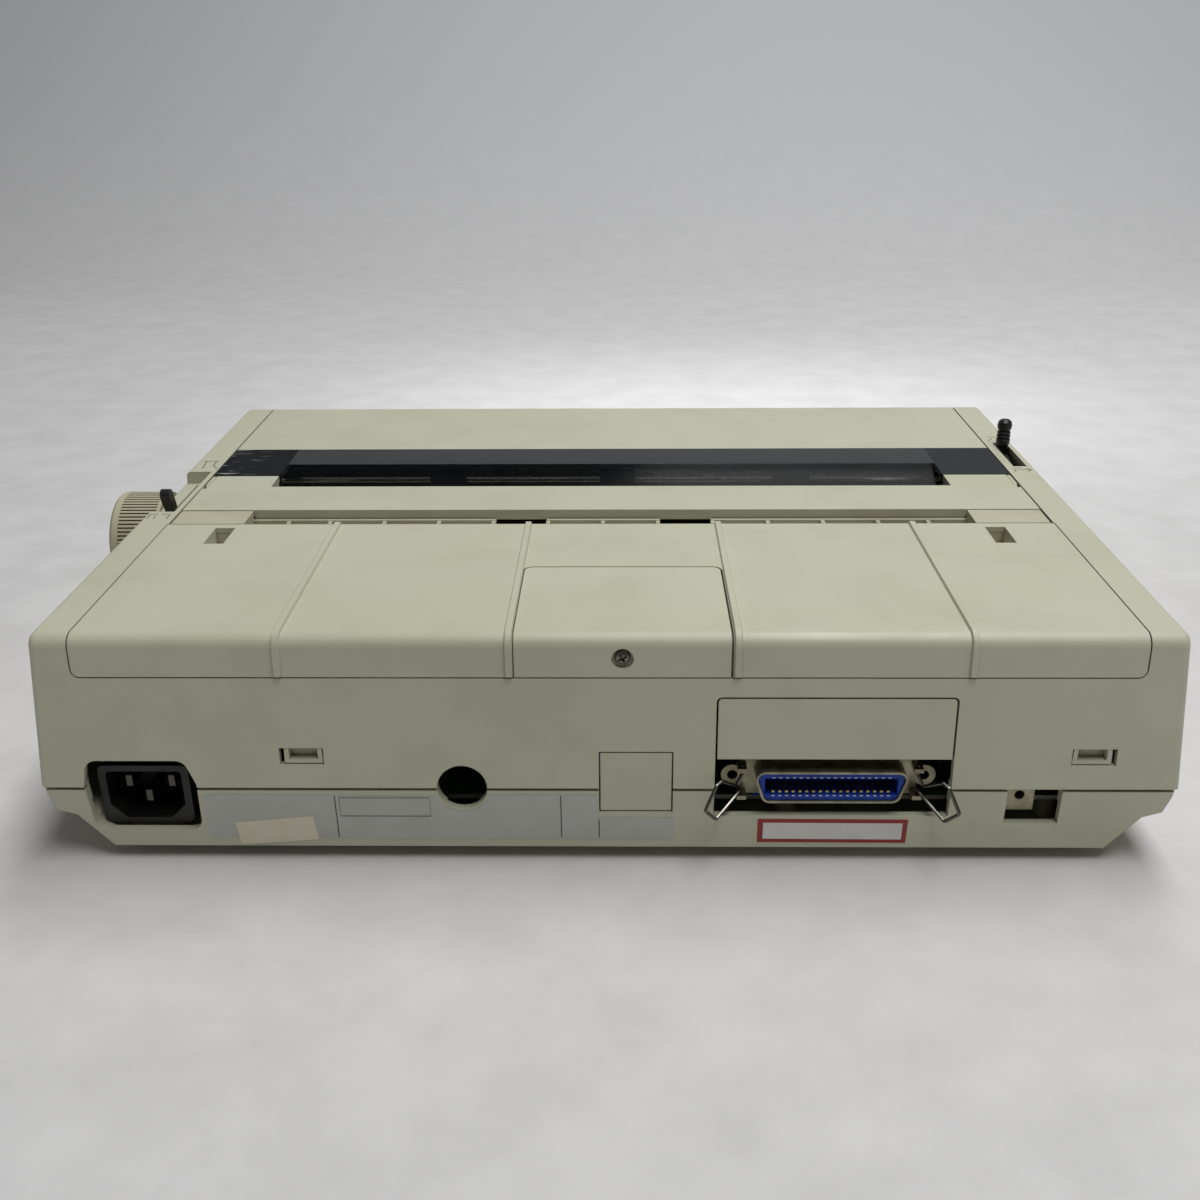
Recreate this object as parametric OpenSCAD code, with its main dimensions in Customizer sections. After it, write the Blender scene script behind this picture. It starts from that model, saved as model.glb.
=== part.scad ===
// Dot matrix printer: a low desktop case with hinged covers over a pin-feed platen mechanism.
// X runs along the platen, Y points to the back (paper in, sockets), Z is up from the table.

/* [Case] */
// Width of the case at the parting line
body_w = 363; // [359:1:383]
// Depth of the case at the parting line
body_d = 275; // [272:1:290]
// Height of the top face above the table
body_h = 80; // [79:0.5:86]
// Height of the parting line
part_z = 28; // [27:0.5:29]
// Wall thickness of the mouldings
wall = 2.5; // [2.2:0.1:2.6]
// Rounding of the rear top edge
edge_r = 4.5; // [4:0.5:6]
// Rounding of the upright corners and of the side edges
side_r = 2; // [1.5:0.5:2.5]
// Step in from the sides of the upper case to the tray
tray_step = 1; // [0.5:0.25:1.5]
// Height of the groove between the two halves of the case
groove_h = 1; // [0.6:0.1:1.2]
// Lean of each side between parting line and top
side_draft = 3.5; // [3:0.5:4]
// Lean of the back
rear_draft = 3.3; // [2.5:0.1:4]
// Lean of the front face
front_draft = 12; // [10:0.5:14]
// Gap between neighbouring covers
seam = 0.4; // [0.3:0.1:0.6]
// Gap round the option cover and the connector cover
door_seam = 0.6; // [0.4:0.1:0.8]
// Width of the side rails of the top face, at the parting line's width
rail_w = 16.5; // [16:0.5:17]
// Height of the feet
foot_h = 5; // [4:0.5:6]
// Radius of the feet
foot_r = 8; // [6:0.5:10]

/* [Covers] */
// Distance from the back to the hinge line of the access cover, as a share of the depth
cover_hinge_share = 0.5509; // [0.545:0.0001:0.553]
// Depth of the smoked window band
window_d = 37; // [36:0.5:38]
// Flat part of the smoked window before it slopes down
window_flat = 21.5; // [20:0.5:23]
// Thickness of the smoked window
window_t = 2; // [1.6:0.1:2.2]
// Half width of the paper throat and of the paper slot
throat_x = 137; // [134:0.5:138]
// Opening angle that the access cover's hinge arms allow
cover_angle = 85; // [60:1:88]
// Front skirt of the access cover, down from the top
cover_lip = 14; // [10:1:16]
// Hinge pin radius of the covers
cover_pin_r = 1; // [0.8:0.1:1.1]

/* [Platen] */
// Number of feed pins on each pin wheel, at half an inch pitch
pin_count = 7; // [7:1:7]
// Spacing of the feed holes in fanfold paper
pin_pitch = 12.7; // [12.6:0.1:12.8]
// Length of the rubber roller
roller_l = 206; // [190:1:208]
// Radius of the platen shaft
shaft_r = 4; // [3.5:0.5:4.5]
// Radius of the platen knob
knob_r = 20; // [18:0.5:21]
// Length of the platen knob
knob_l = 20; // [16:0.5:24]
// Number of grip ribs round the knob
knob_ribs = 78; // [40:1:90]
// Gap between the knob and the case
knob_gap = 1.7; // [1.5:0.1:3]

/* [Gears] */
// Tooth module of the paper feed gears
tooth_module = 1; // [1:0.05:1]
// Teeth of the platen gear
platen_teeth = 36; // [36:1:36]
// Teeth of the idler gear
idler_teeth = 40; // [40:1:40]
// Teeth of the motor pinion
pinion_teeth = 12; // [12:1:12]
// Face width of the gears
gear_w = 6; // [4:0.5:7]

/* [Carriage] */
// Radius of the carriage guide shaft
guide_r = 5; // [4:0.5:5.5]
// Travel of the carriage
carriage_travel = 190; // [150:1:194]
// Width of the carriage
carriage_w = 36; // [32:1:38]
// Width of the ribbon cartridge
cartridge_w = 88; // [70:1:90]
// Radius of the belt pulleys
pulley_r = 6; // [5:0.5:7]
// Width of the drive belt
belt_w = 5; // [4:0.5:6]

/* [Back] */
// Spacing of the connector contacts
contact_pitch = 2.16; // [2.1:0.01:2.2]
// Contacts in each row of the parallel connector
contact_count = 18; // [16:1:18]
// Radius of the round cable hole
cable_hole_r = 8; // [6:0.5:9]
// Radius of the tapped earth hole
earth_hole_r = 1.65; // [1.25:0.05:2]
// Depth at which the mains inlet sits inside its opening
inlet_recess = 5; // [3:0.5:6]

/* [Front] */
// Width of the control panel
panel_w = 96; // [90:1:110]
// Travel of the push buttons
button_travel = 1.2; // [0.8:0.1:1.5]
// Width of a push button
button_w = 12; // [10:0.5:14]

/* [Hidden] */
$fn = 48;
hull_fn = 24;
fit = 0.05;
play = 0.3;
over = 1;

// Case faces
half_w = body_w / 2;
half_d = body_d / 2;
draft_h = body_h - part_z;
side_t = side_draft / draft_h;
rear_t = rear_draft / draft_h;
front_t = front_draft / draft_h;
function side_x(z) = half_w - (z - part_z) * side_t;
function rear_y(z) = half_d - (z - part_z) * rear_t;
function front_y(z) = -half_d + (z - part_z) * front_t;
floor_z = foot_h + wall;
top_under = body_h - wall;
rail_x = half_w - rail_w;
rail_wall = 2;
deck_t = 2.5;
skin_t = 2;

// Lines across the top face
hinge_y = half_d - cover_hinge_share * body_d;
hinge_z = body_h - 1.9;
window_rear = hinge_y - 7;
window_front = window_rear - window_d;
ridge_y = window_front + window_flat;
throat_rear = window_rear + 13.5;
lip_rear = throat_rear + 1.8;
paper_cover_rear = window_rear + 41.5;
paper_hinge_y = paper_cover_rear - 6.5;
slot_front = paper_cover_rear + 1;
slot_rear = slot_front + 14.2;
panel_front = slot_rear + seam;
panel_x = rail_x + 0.6;
panel_r = 2.5;
panel_low = body_h - 13.5;
arm_x = rail_x - 1.6;
arm_end = window_rear + 12.5;

// Platen
platen_y = window_rear + 11;
platen_z = body_h - 24;
platen_r = pin_count * pin_pitch / (2 * PI);
pin_h = 2.4;
wheel_w = 12;
frame_x = 149;
frame_t = 2;
gear_x = frame_x + frame_t + 2;
knob_x = side_x(platen_z) + knob_gap;

// Gear train
platen_gear_r = platen_teeth * tooth_module / 2;
idler_gear_r = idler_teeth * tooth_module / 2;
pinion_gear_r = pinion_teeth * tooth_module / 2;
motor_dist = 63.9;
motor_z = floor_z + 26.5;
motor_y = platen_y + sqrt(motor_dist ^ 2 - (platen_z - motor_z) ^ 2);
motor_len = 25;
motor_r = 19;
motor_plate = 21;
idler_reach = platen_gear_r + idler_gear_r;
pinion_reach = idler_gear_r + pinion_gear_r;
train_dir = atan2(motor_z - platen_z, motor_y - platen_y);
idler_dir = train_dir + acos((idler_reach ^ 2 + motor_dist ^ 2 - pinion_reach ^ 2)
    / (2 * idler_reach * motor_dist));
idler_y = platen_y + idler_reach * cos(idler_dir);
idler_z = platen_z + idler_reach * sin(idler_dir);
pinion_dir = atan2(motor_z - idler_z, motor_y - idler_y);
idler_turn = mesh_turn(0, idler_dir, platen_teeth, idler_teeth);
pinion_turn = mesh_turn(idler_turn, pinion_dir, idler_teeth, pinion_teeth);
stud_r = 3;
spindle_r = 2.5;

// Guide under the platen
guide_gap = 3.85;
guide_in = platen_r + guide_gap;
guide_t = 2;
guide_from = -150;
guide_to = -36;

// Pressure rollers under the platen
press_dir = -112;
press_rod_r = 1.5;
press_dist = guide_in + guide_t + press_rod_r + play;
press_r = press_dist - platen_r - 0.35;
press_y = platen_y + press_dist * cos(press_dir);
press_z = platen_z + press_dist * sin(press_dir);
press_pivot_y = platen_y + 15;
press_pivot_z = platen_z - 32;
press_pivot_r = 2;
press_roller_x = [-60, 60];
press_roller_w = 14;

// Paper bail, standing forward of the platen
bail_pivot_y = platen_y - 38.5;
bail_pivot_z = platen_z - 19.1;
bail_rod_y = platen_y - 35;
bail_rod_z = platen_z + 15;
bail_rod_r = 2;
bail_pin_r = 3;
bail_arm_x = frame_x - 6;
bail_roller_x = [-78, -3, 70];
bail_roller_r = 5;
bail_roller_w = 15;
bail_slot_x = rail_x + 7.1;
bail_slot_w = 5.4;
bail_slot_front = platen_y - 55.5;
bail_slot_rear = platen_y - 22;
bail_handle_y = platen_y - 50;

// Release lever on the right
release_pivot_y = platen_y + 12;
release_pivot_z = platen_z - 28;
release_slot_x = rail_x + 6.5;
release_t = 1.6;
release_front = platen_y - 14;
release_rear = platen_y + 26;
release_y = platen_y + 22;
recess_z = body_h - 5;
recess_front = platen_y - 17;
recess_rear = platen_y + 32;

// Carriage, guide shaft and belt
guide_y = platen_y - 52;
guide_z = platen_z - 26;
rest_x = -carriage_travel / 2;
carriage_y0 = guide_y - 9;
carriage_y1 = guide_y + 10;
carriage_z0 = guide_z - 7;
carriage_z1 = guide_z + 8;
rail_y = guide_y - 34;
rail_top = guide_z + 6;
seat_y = [guide_y - 34, platen_y + 56];
belt_y = guide_y - 18;
belt_z = guide_z - 6;
belt_t = 0.8;
pulley_x = 128;
belt_r = pulley_r + fit;
head_front = platen_y - platen_r - 4.3;
head_z = platen_z - 5;
ribbon_low = platen_z - 8;
ribbon_top = ribbon_low + 13;
cartridge_z = ribbon_low + 0.3;

// Parallel connector on the main board
board_z = 18;
board_t = 1.6;
board_y0 = half_d - 69.5;
board_y1 = half_d - 10;
board_x = [-151, 52];
chips = [[-140, 18, 36], [-112, 18, 36], [-30, 14, 22], [-6, 14, 22]];
chip_h = 4;
sink_x = [18, 44];
sink_h = 22;
can_x = [-80, -64, -46];
can_h = 20;
can_r = 6;
core_x = 94;
core_h = 44;
coil_x = 16;
conn_x = -71.8;
conn_z = 28.1;
conn_w = (contact_count - 1) * contact_pitch + 13.28;
conn_h = 11.4;
conn_flange_y = half_d - 9.5;
conn_face_y = half_d - 0.5;
conn_x0 = conn_x - conn_w / 2 - 12.7;
conn_x1 = conn_x + conn_w / 2 + 12.2;
conn_low = 17.6;
conn_door = 38.5;
conn_high = body_h - 20.2;
conn_mid = (conn_x0 + conn_x1) / 2;
door_r = 1.8;
flange_h = 13.8;
pocket_x = conn_w / 2 - 3.9;
pocket_z = 3;
lock_x = conn_w / 2 + 3.1;
lock_y = half_d - 5.5;
lock_r = 0.65;
lock_reach = 17.4;
lock_out = [45, 38];
lock_loop = [[0, 5], [0, 2.2], [2.5, -1.3], [9.8, 3.6], [12.5, 3], [lock_reach, -4], [12.2, -9.5],
    [0, -3.6], [0, -6.4]];
lock_tabs = [[3.4, 4.8], [-6.6, -5.2]];
ear_x = conn_w / 2 + 5.9;
ear_hole_r = 1.7;
ear_r = 3.7;

// Mains inlet
inlet_x = 149.5;
inlet_z = 22.5;
inlet_w = 29.4;
inlet_h = 21.6;
inlet_depth = 22;
inlet_y = rear_y(inlet_z) - inlet_recess;
inlet_hole = [[131.3, 11.4], [165.9, 11.4], [167.2, 28], [165.7, 37.5], [134.3, 37.5], [130.9, 29]];
inlet_deep = 16;

// Other openings of the back
hole_x = 45.8;
plug_x0 = -21.4;
plug_x1 = 2.1;
plug_z0 = 19;
plug_z1 = 41;
earth_x0 = -144.8;
earth_x1 = -127.6;
earth_z0 = 14.8;
earth_z1 = 27.3;
earth_x = -133.2;
earth_z = 22.6;
latch_x = [96.3, -153.2];
latch_z = 39.2;
latch_w = 14;
latch_h = 5.8;
option_x0 = -38.8;
option_x1 = 28.1;
option_y = half_d - 58.9;
option_screw_x = -5.4;
option_screw_z = body_h - 7.4;
rib_x = [101.3, 29.7, -40.9, -112.9];
rib_w = 2.6;
rib_h = 0.9;
hook_x = 142.7;
hook_w = 7.3;
hook_y0 = slot_rear + 4.3;
hook_y1 = hook_y0 + 16;

// Case screws, each with the wall that its boss is ribbed to
screw_places = [[-half_w + 53.5, -half_d + 20.5, -1], [45, -half_d + 20.5, -1],
    [-half_w + 24.5, half_d - 16.5, 1], [half_w - 54, half_d - 16.5, 1]];
screw_seat = floor_z + 5;
boss_top = part_z + 22;
boss_rib = part_z + 15;

// Control panel on the sloping front
panel_mid_x = 105;
panel_z = 47;
panel_h = 24;
slope_a = atan(front_t);
button_x = [-26, -6, 14];
button_h = 7;
lamp_r = 1.5;
lamp_x = [-26, -6, 14, 34];

// Rocker switch on the right side
switch_y = -half_d + 59.5;
switch_z = 50;
switch_l = 19;
switch_h = 12.4;
rocker_tilt = 6;
switch_low = switch_z - switch_h / 2 - 1.5;
switch_high = switch_z + switch_h / 2 + 1.5;
rocker_x = side_x(switch_z) - 4;

// Origin at the middle of the base of everything that stands on the table
knob_end = knob_x + knob_l;
lock_end = lock_y + lock_reach * cos(lock_out[1]) + lock_r;
frame_shift = [-(knob_end - half_w) / 2, -(lock_end - half_d) / 2, 0];

// Colours
beige = [0.77, 0.74, 0.65];
smoke = [0.16, 0.17, 0.19];
black = [0.08, 0.08, 0.09];
steel = [0.66, 0.67, 0.68];
zinc = [0.74, 0.74, 0.70];
gold = [0.83, 0.66, 0.30];
blue = [0.10, 0.22, 0.62];
green = [0.10, 0.36, 0.22];
rubber = [0.13, 0.13, 0.13];
ivory = [0.86, 0.84, 0.76];
copper = [0.62, 0.36, 0.16];

// Placing and extruding
module in_frame() translate(frame_shift) children();

module block(x, y, z) {
    translate([x[0], y[0], z[0]]) cube([x[1] - x[0], y[1] - y[0], z[1] - z[0]]);
}

module along_x(x0, x1) translate([x0, 0, 0]) rotate([90, 0, 90]) linear_extrude(x1 - x0) children();

module along_y(y0, y1) translate([0, y1, 0]) rotate([90, 0, 0]) linear_extrude(y1 - y0) children();

module rod_x(x0, x1, y, z, r) {
    translate([x0, y, z]) rotate([0, 90, 0]) cylinder(h = x1 - x0, r = r);
}

module rod_y(y0, y1, x, z, r) {
    translate([x, y1, z]) rotate([90, 0, 0]) cylinder(h = y1 - y0, r = r);
}

module rod_z(z0, z1, x, y, r) translate([x, y, z0]) cylinder(h = z1 - z0, r = r);

module round_rect(x, y, r) {
    for (sx = [-1, 1], sy = [-1, 1]) translate([sx * (x - r), sy * (y - r)]) circle(r);
    square([2 * x, 2 * (y - r)], center = true);
    square([2 * (x - r), 2 * y], center = true);
}

// Corners of an outline replaced by arcs of radius r
function corner_arc(a, b, c, r, n) =
    let (u = (a - b) / norm(a - b), v = (c - b) / norm(c - b), half = acos(u * v) / 2)
    let (m = b + (u + v) / norm(u + v) * (r / sin(half)))
    let (p = b + u * (r / tan(half)) - m, q = b + v * (r / tan(half)) - m)
    let (a0 = atan2(p[1], p[0]), turn = (atan2(q[1], q[0]) - a0 + 540) % 360 - 180)
    [for (i = [0:n]) m + r * [cos(a0 + turn * i / n), sin(a0 + turn * i / n)]];

function rounded(pts, r, n = 5) = let (k = len(pts))
    [for (i = [0:k - 1]) each corner_arc(pts[(i + k - 1) % k], pts[i], pts[(i + 1) % k], r, n)];

// Turn that sets the second gear's gap on the first gear's tooth
function mesh_turn(turn, dir, z1, z2) = dir + 180 + (dir - turn) * z1 / z2 + 180 / z2;

// Involute gear outline with a little backlash
function involute(base, r) = let (a = acos(min(1, base / r))) tan(a) * 180 / PI - a;

function tooth_half(z, base, r) =
    let (pitch = z * tooth_module / 2, backlash = 0.06 * tooth_module)
    90 / z - backlash / pitch * 180 / PI + involute(base, pitch) - involute(base, r);

function gear_outline(z) =
    let (pitch = z * tooth_module / 2, base = pitch * cos(22))
    let (tip = pitch + 0.85 * tooth_module, root = pitch - 1.15 * tooth_module)
    let (low = max(base, root + 0.1), steps = [0:3])
    [for (k = [0:z - 1]) let (a = k * 360 / z)
        each concat(
            [polar(root, a - tooth_half(z, base, low) - 0.2)],
            [for (i = steps) let (r = low + (tip - low) * i / 3) polar(r, a - tooth_half(z, base, r))],
            [for (i = steps) let (r = tip - (tip - low) * i / 3) polar(r, a + tooth_half(z, base, r))],
            [polar(root, a + tooth_half(z, base, low) + 0.2)])];

function polar(r, a) = r * [cos(a), sin(a)];

module gear(z, y, at_z, turn, bore) difference() {
    translate([0, y, at_z]) rotate([turn, 0, 0]) along_x(gear_x, gear_x + gear_w)
        polygon(gear_outline(z));
    rod_x(gear_x - over, gear_x + gear_w + over, y, at_z, bore);
}

// Outer form of the upper case, set in by a distance
module case_form(inset) {
    r = max(edge_r - inset, 1);
    rs = max(side_r - inset, 0.6);
    low = part_z - (inset > 0 ? 2 : 0);
    high = body_h - inset - rs;
    set_x = inset * norm([1, side_t]);
    set_rear = inset * norm([1, rear_t]);
    set_front = inset * norm([1, front_t]);
    rear_z = body_h - inset - r;
    hull() for (sx = [-1, 1]) {
        for (y = [rear_y(low) - set_rear - rs, front_y(low) + set_front + rs])
            translate([sx * (side_x(low) - set_x - rs), y, low])
                cylinder(h = 0.02, r = rs, $fn = hull_fn);
        top_x = side_x(high) - set_x - rs * norm([1, side_t]);
        translate([sx * top_x, rear_y(rear_z) - set_rear - r * norm([1, rear_t]), rear_z])
            rotate([0, 90, 0]) rotate_extrude($fn = 2 * hull_fn) translate([r - rs, 0])
                circle(rs, $fn = hull_fn / 2);
        translate([sx * top_x, front_y(high) + set_front + rs * norm([1, front_t]), high])
            sphere(rs, $fn = hull_fn);
    }
}

module case_skin(inner, outer = 0) difference() {
    case_form(outer);
    case_form(inner);
}

// Outline of the tray, set in by a distance
module tray_form(inset) {
    low = foot_h + inset;
    top = half_w - tray_step;
    slant = inset * 1.2;
    intersection() {
        along_y(-half_d - over, half_d + over) polygon([
            [-top + inset, part_z], [-top + 3.1 + inset, part_z - 8.8],
            [-top + 9.1 + slant, part_z - 10.7], [-top + 19.2 + slant, low],
            [top - 19.2 - slant, low], [top - 9.1 - slant, part_z - 10.7],
            [top - 3.1 - inset, part_z - 8.8], [top - inset, part_z]]);
        along_x(-half_w - over, half_w + over) polygon([
            [-half_d + inset, part_z], [-half_d + 2.5 + inset, part_z - 9],
            [-half_d + 12 + inset, low], [half_d - 1.5 - inset, low], [half_d - inset, part_z]]);
        translate([0, 0, low - over]) linear_extrude(body_h)
            round_rect(top - inset, half_d - inset, max(side_r - inset, 1));
    }
}

// Openings that both halves of the case share
module back_openings(grow = 0) {
    reach = [half_d - 14, half_d + over];
    along_y(reach[0], reach[1]) offset_outline(inlet_hole, 4);
    block([conn_x0 - grow, conn_x1 + grow], reach, [conn_low, conn_door + over]);
    along_y(reach[0], reach[1]) translate([conn_mid, (conn_door + conn_high) / 2 - over])
        round_rect((conn_x1 - conn_x0) / 2, (conn_high - conn_door) / 2 + over, door_r);
    block([plug_x0, plug_x1], reach, [plug_z0, plug_z1]);
    rod_y(reach[0], reach[1], hole_x, part_z, cable_hole_r);
}

module offset_outline(pts, r) polygon(rounded(pts, r));

// Casing
module tray() in_frame() color(beige) {
    lip_out = wall + 0.15;
    lip_in = lip_out + 1.3;
    lip_set = 0.35;
    difference() {
        union() {
            difference() {
                tray_form(0);
                translate([0, 0, 0.001]) tray_form(wall);
                block([-half_w, half_w], [-half_d, half_d], [part_z - groove_h, part_z + over]);
            }
            difference() {
                union() {
                    translate([0, 0, part_z - 6]) linear_extrude(6 - groove_h)
                        round_rect(half_w - tray_step - wall - 0.1, half_d - wall + 0.3, side_r);
                    translate([0, lip_set, part_z - 2.2]) linear_extrude(3.7)
                        round_rect(half_w - lip_out, half_d - lip_out - lip_set, side_r);
                }
                translate([0, lip_set, part_z - 7]) linear_extrude(10)
                    round_rect(half_w - lip_in, half_d - lip_in - lip_set, 1);
            }
            for (x = [-146, -60, 40], y = [board_y0 + 5, board_y1 - 8])
                rod_z(foot_h + 1, board_z, x, y, 3.5);
            for (sx = [-1, 1], y = seat_y)
                block([sx * (frame_x + 1) - 7, sx * (frame_x + 1) + 7], [y - 8, y + 8],
                    [foot_h + 1, floor_z + 4]);
            for (p = screw_places) rod_z(foot_h + 1, screw_seat, p[0], p[1], 5);
            block([inlet_x - 9, inlet_x + 9], [inlet_y - inlet_depth + 1, inlet_y - 5],
                [foot_h + 1, inlet_z - inlet_h / 2 + 1]);
            for (x = latch_x) {
                block([x - 5.2, x + 5.2], [half_d - 6.2, half_d - 4.2], [foot_h + 2, latch_z + 2.4]);
                block([x - 5.2, x + 5.2], [half_d - 6.2, half_d - wall], [foot_h + 2, part_z - 6]);
            }
        }
        back_openings();
        block([earth_x0, earth_x1], [half_d - 8, half_d + over], [earth_z0, earth_z1]);
        for (sx = [-1, 1], y = seat_y)
            block([sx * (frame_x + 1) - 1.05, sx * (frame_x + 1) + 1.05], [y - 9, y + 9],
                [floor_z, floor_z + 5]);
        for (x = [-105:10:-15]) block([x, x + 4], [guide_y + 2, guide_y + 42], [foot_h - over, floor_z + over]);
        for (x = latch_x) block([x - 3, x + 3], [half_d - 7, half_d - 4], [latch_z - 1.6, latch_z + 1.2]);
        for (p = screw_places) {
            rod_z(0, part_z, p[0], p[1], 1.8);
            rod_z(0, screw_seat - 2.5, p[0], p[1], 3.5);
        }
    }
}

module upper_case() in_frame() color(beige) difference() {
    union() {
        difference() {
            case_skin(wall);
            panel_region(seam);
        }
        intersection() {
            case_skin(skin_t + deck_t, skin_t);
            panel_region(4);
        }
        for (sx = [-1, 1]) {
            wall_x = sx > 0 ? rail_x + seam + 0.2 : -rail_x - seam - 0.2 - rail_wall;
            block([wall_x, wall_x + rail_wall], [window_front - 58, panel_front + 2],
                [body_h - 12, body_h - 0.5]);
        }
        intersection() {
            case_form(0);
            block([rail_x + seam + 0.2, half_w], [recess_front - wall, recess_rear + wall],
                [recess_z - wall, body_h]);
        }
        for (p = screw_places) {
            rod_z(screw_seat, boss_top, p[0], p[1], 3.6);
            wall_y = p[2] > 0 ? rear_y(boss_top) - 1 : front_y(boss_top) + 1;
            block([p[0] - 1, p[0] + 1], [min(p[1], wall_y), max(p[1], wall_y)], [boss_rib, boss_top]);
        }
    }
    block([rail_x + seam + 0.2 + rail_wall, half_w + over], [recess_front, recess_rear],
        [recess_z, body_h + over]);
    block([release_slot_x - 0.2, release_slot_x + release_t + 0.4], [release_front, release_rear],
        [recess_z - wall - over, recess_z + over]);
    block([-bail_slot_x - bail_slot_w / 2 - 0.1, -bail_slot_x + bail_slot_w / 2 + 0.1],
        [bail_slot_front, bail_slot_rear], [body_h - 14, body_h + over]);
    block([-rail_x - seam - 0.2, rail_x + seam + 0.2], [-half_d - over, panel_front + 0.01],
        [body_h - cover_lip - seam, body_h + over]);
    block([-panel_x + 6, panel_x - 6], [panel_front - 3, panel_front + 4],
        [body_h - 9, body_h - skin_t]);
    for (y = [hinge_y, paper_hinge_y], sx = [-1, 1])
        rod_x(sx * (rail_x + 1.8) - 1.6, sx * (rail_x + 1.8) + 1.6, y, hinge_z, cover_pin_r + fit);
    back_openings();
    block([option_x0 + 3, option_x1 - 3], [option_y + 3, half_d - 12], [body_h - 16, body_h]);
    rod_y(half_d - 20, half_d, option_screw_x, option_screw_z, 1.5);
    for (x = latch_x) block([x - latch_w / 2, x + latch_w / 2], [half_d - 6, half_d + over],
        [latch_z - latch_h / 2, latch_z + latch_h / 2]);
    for (sx = [-1, 1]) block([sx * hook_x - hook_w / 2, sx * hook_x + hook_w / 2],
        [hook_y0, hook_y1], [body_h - 10, body_h + over]);
    rod_x(half_w - 10, half_w + over, platen_y, platen_z, shaft_r + 2);
    panel_place() linear_extrude(8, center = true)
        square([panel_w + 2 * seam, panel_h + 2 * seam], center = true);
    for (p = screw_places) rod_z(screw_seat - over, part_z + 14, p[0], p[1], 1.5);
    block([half_w - 12, half_w + over], [switch_y - switch_l / 2 - 0.2, switch_y + switch_l / 2 + 0.2],
        [switch_z - switch_h / 2 - 0.2, switch_z + switch_h / 2 + 0.2]);
}

// Area of the ribbed panel over the back, down to its lower edge
module panel_region(grow) {
    block([-panel_x - grow, panel_x + grow], [panel_front - grow, half_d - 30], [top_under - 8, body_h + over]);
    along_y(half_d - 31, half_d + over) polygon(rounded([
        [-panel_x - grow, panel_low - grow], [panel_x + grow, panel_low - grow],
        [panel_x + grow, body_h + 20], [-panel_x - grow, body_h + 20]], panel_r + grow));
}

module option_region(grow) translate([0, 0, panel_low - 2 * over]) linear_extrude(body_h) polygon(rounded([
    [option_x0 - grow, option_y - grow], [option_x1 + grow, option_y - grow],
    [option_x1 + grow, half_d + 20], [option_x0 - grow, half_d + 20]], 3 + grow));

module rear_panel() in_frame() color(beige) difference() {
    union() {
        intersection() {
            case_skin(skin_t);
            panel_region(0);
        }
        intersection() {
            case_skin(skin_t, -rib_h);
            for (x = rib_x) block([x - rib_w / 2, x + rib_w / 2], [panel_front, half_d + 2 * over],
                [panel_low + 0.5, body_h + over]);
        }
    }
    option_region(door_seam);
    for (sx = [-1, 1]) block([sx * hook_x - hook_w / 2, sx * hook_x + hook_w / 2],
        [hook_y0, hook_y1], [body_h - 10, body_h + over]);
}

module option_cover() in_frame() color(beige) difference() {
    intersection() {
        case_skin(skin_t);
        panel_region(0);
        option_region(0);
    }
    rod_y(half_d - 10, half_d - 6, option_screw_x, option_screw_z, 1.8);
    rod_y(half_d - 4.4, half_d + over, option_screw_x, option_screw_z, 3.4);
    rod_y(half_d - 10, half_d, option_screw_x, option_screw_z, 1.8);
}

module cover_screw() in_frame() color(steel) {
    rod_y(half_d - 4.4, half_d - 3.1, option_screw_x, option_screw_z, 2.6);
    rod_y(half_d - 12, half_d - 4.4, option_screw_x, option_screw_z, 1.45);
}

module connector_cover() in_frame() color(beige) {
    difference() {
        intersection() {
            case_skin(wall);
            along_y(half_d - 8, half_d + over) translate([conn_mid, conn_high - 15])
                round_rect((conn_x1 - conn_x0) / 2 - door_seam, 15 - door_seam, door_r - door_seam);
        }
        block([conn_x0, conn_x1], [half_d - 8, half_d + over], [0, conn_door]);
    }
    for (x = [conn_x0 + 4, conn_x1 - 16]) difference() {
        block([x, x + 12], [half_d - 9, half_d - 2], [conn_high - 5, conn_high + 2.3]);
        case_form_rear(wall);
    }
}

// Room outside the inner face of the back wall
module case_form_rear(inset) along_x(-half_w, half_w) polygon([[rear_y(0) - inset * norm([1, rear_t]), 0],
    [half_d + 20, 0], [half_d + 20, body_h], [rear_y(body_h) - inset * norm([1, rear_t]), body_h]]);

module blank_plug() in_frame() color(beige) {
    x = [plug_x0 + seam, plug_x1 - seam];
    block(x, [half_d - 5, half_d - 0.9], [plug_z0 + seam, plug_z1 - seam]);
    difference() {
        block([plug_x0 - 2.5, plug_x1 + 2.5], [half_d - 6, half_d - 1.5], [part_z + 2.5, plug_z1 - 1]);
        case_form_rear(wall);
    }
}

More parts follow.
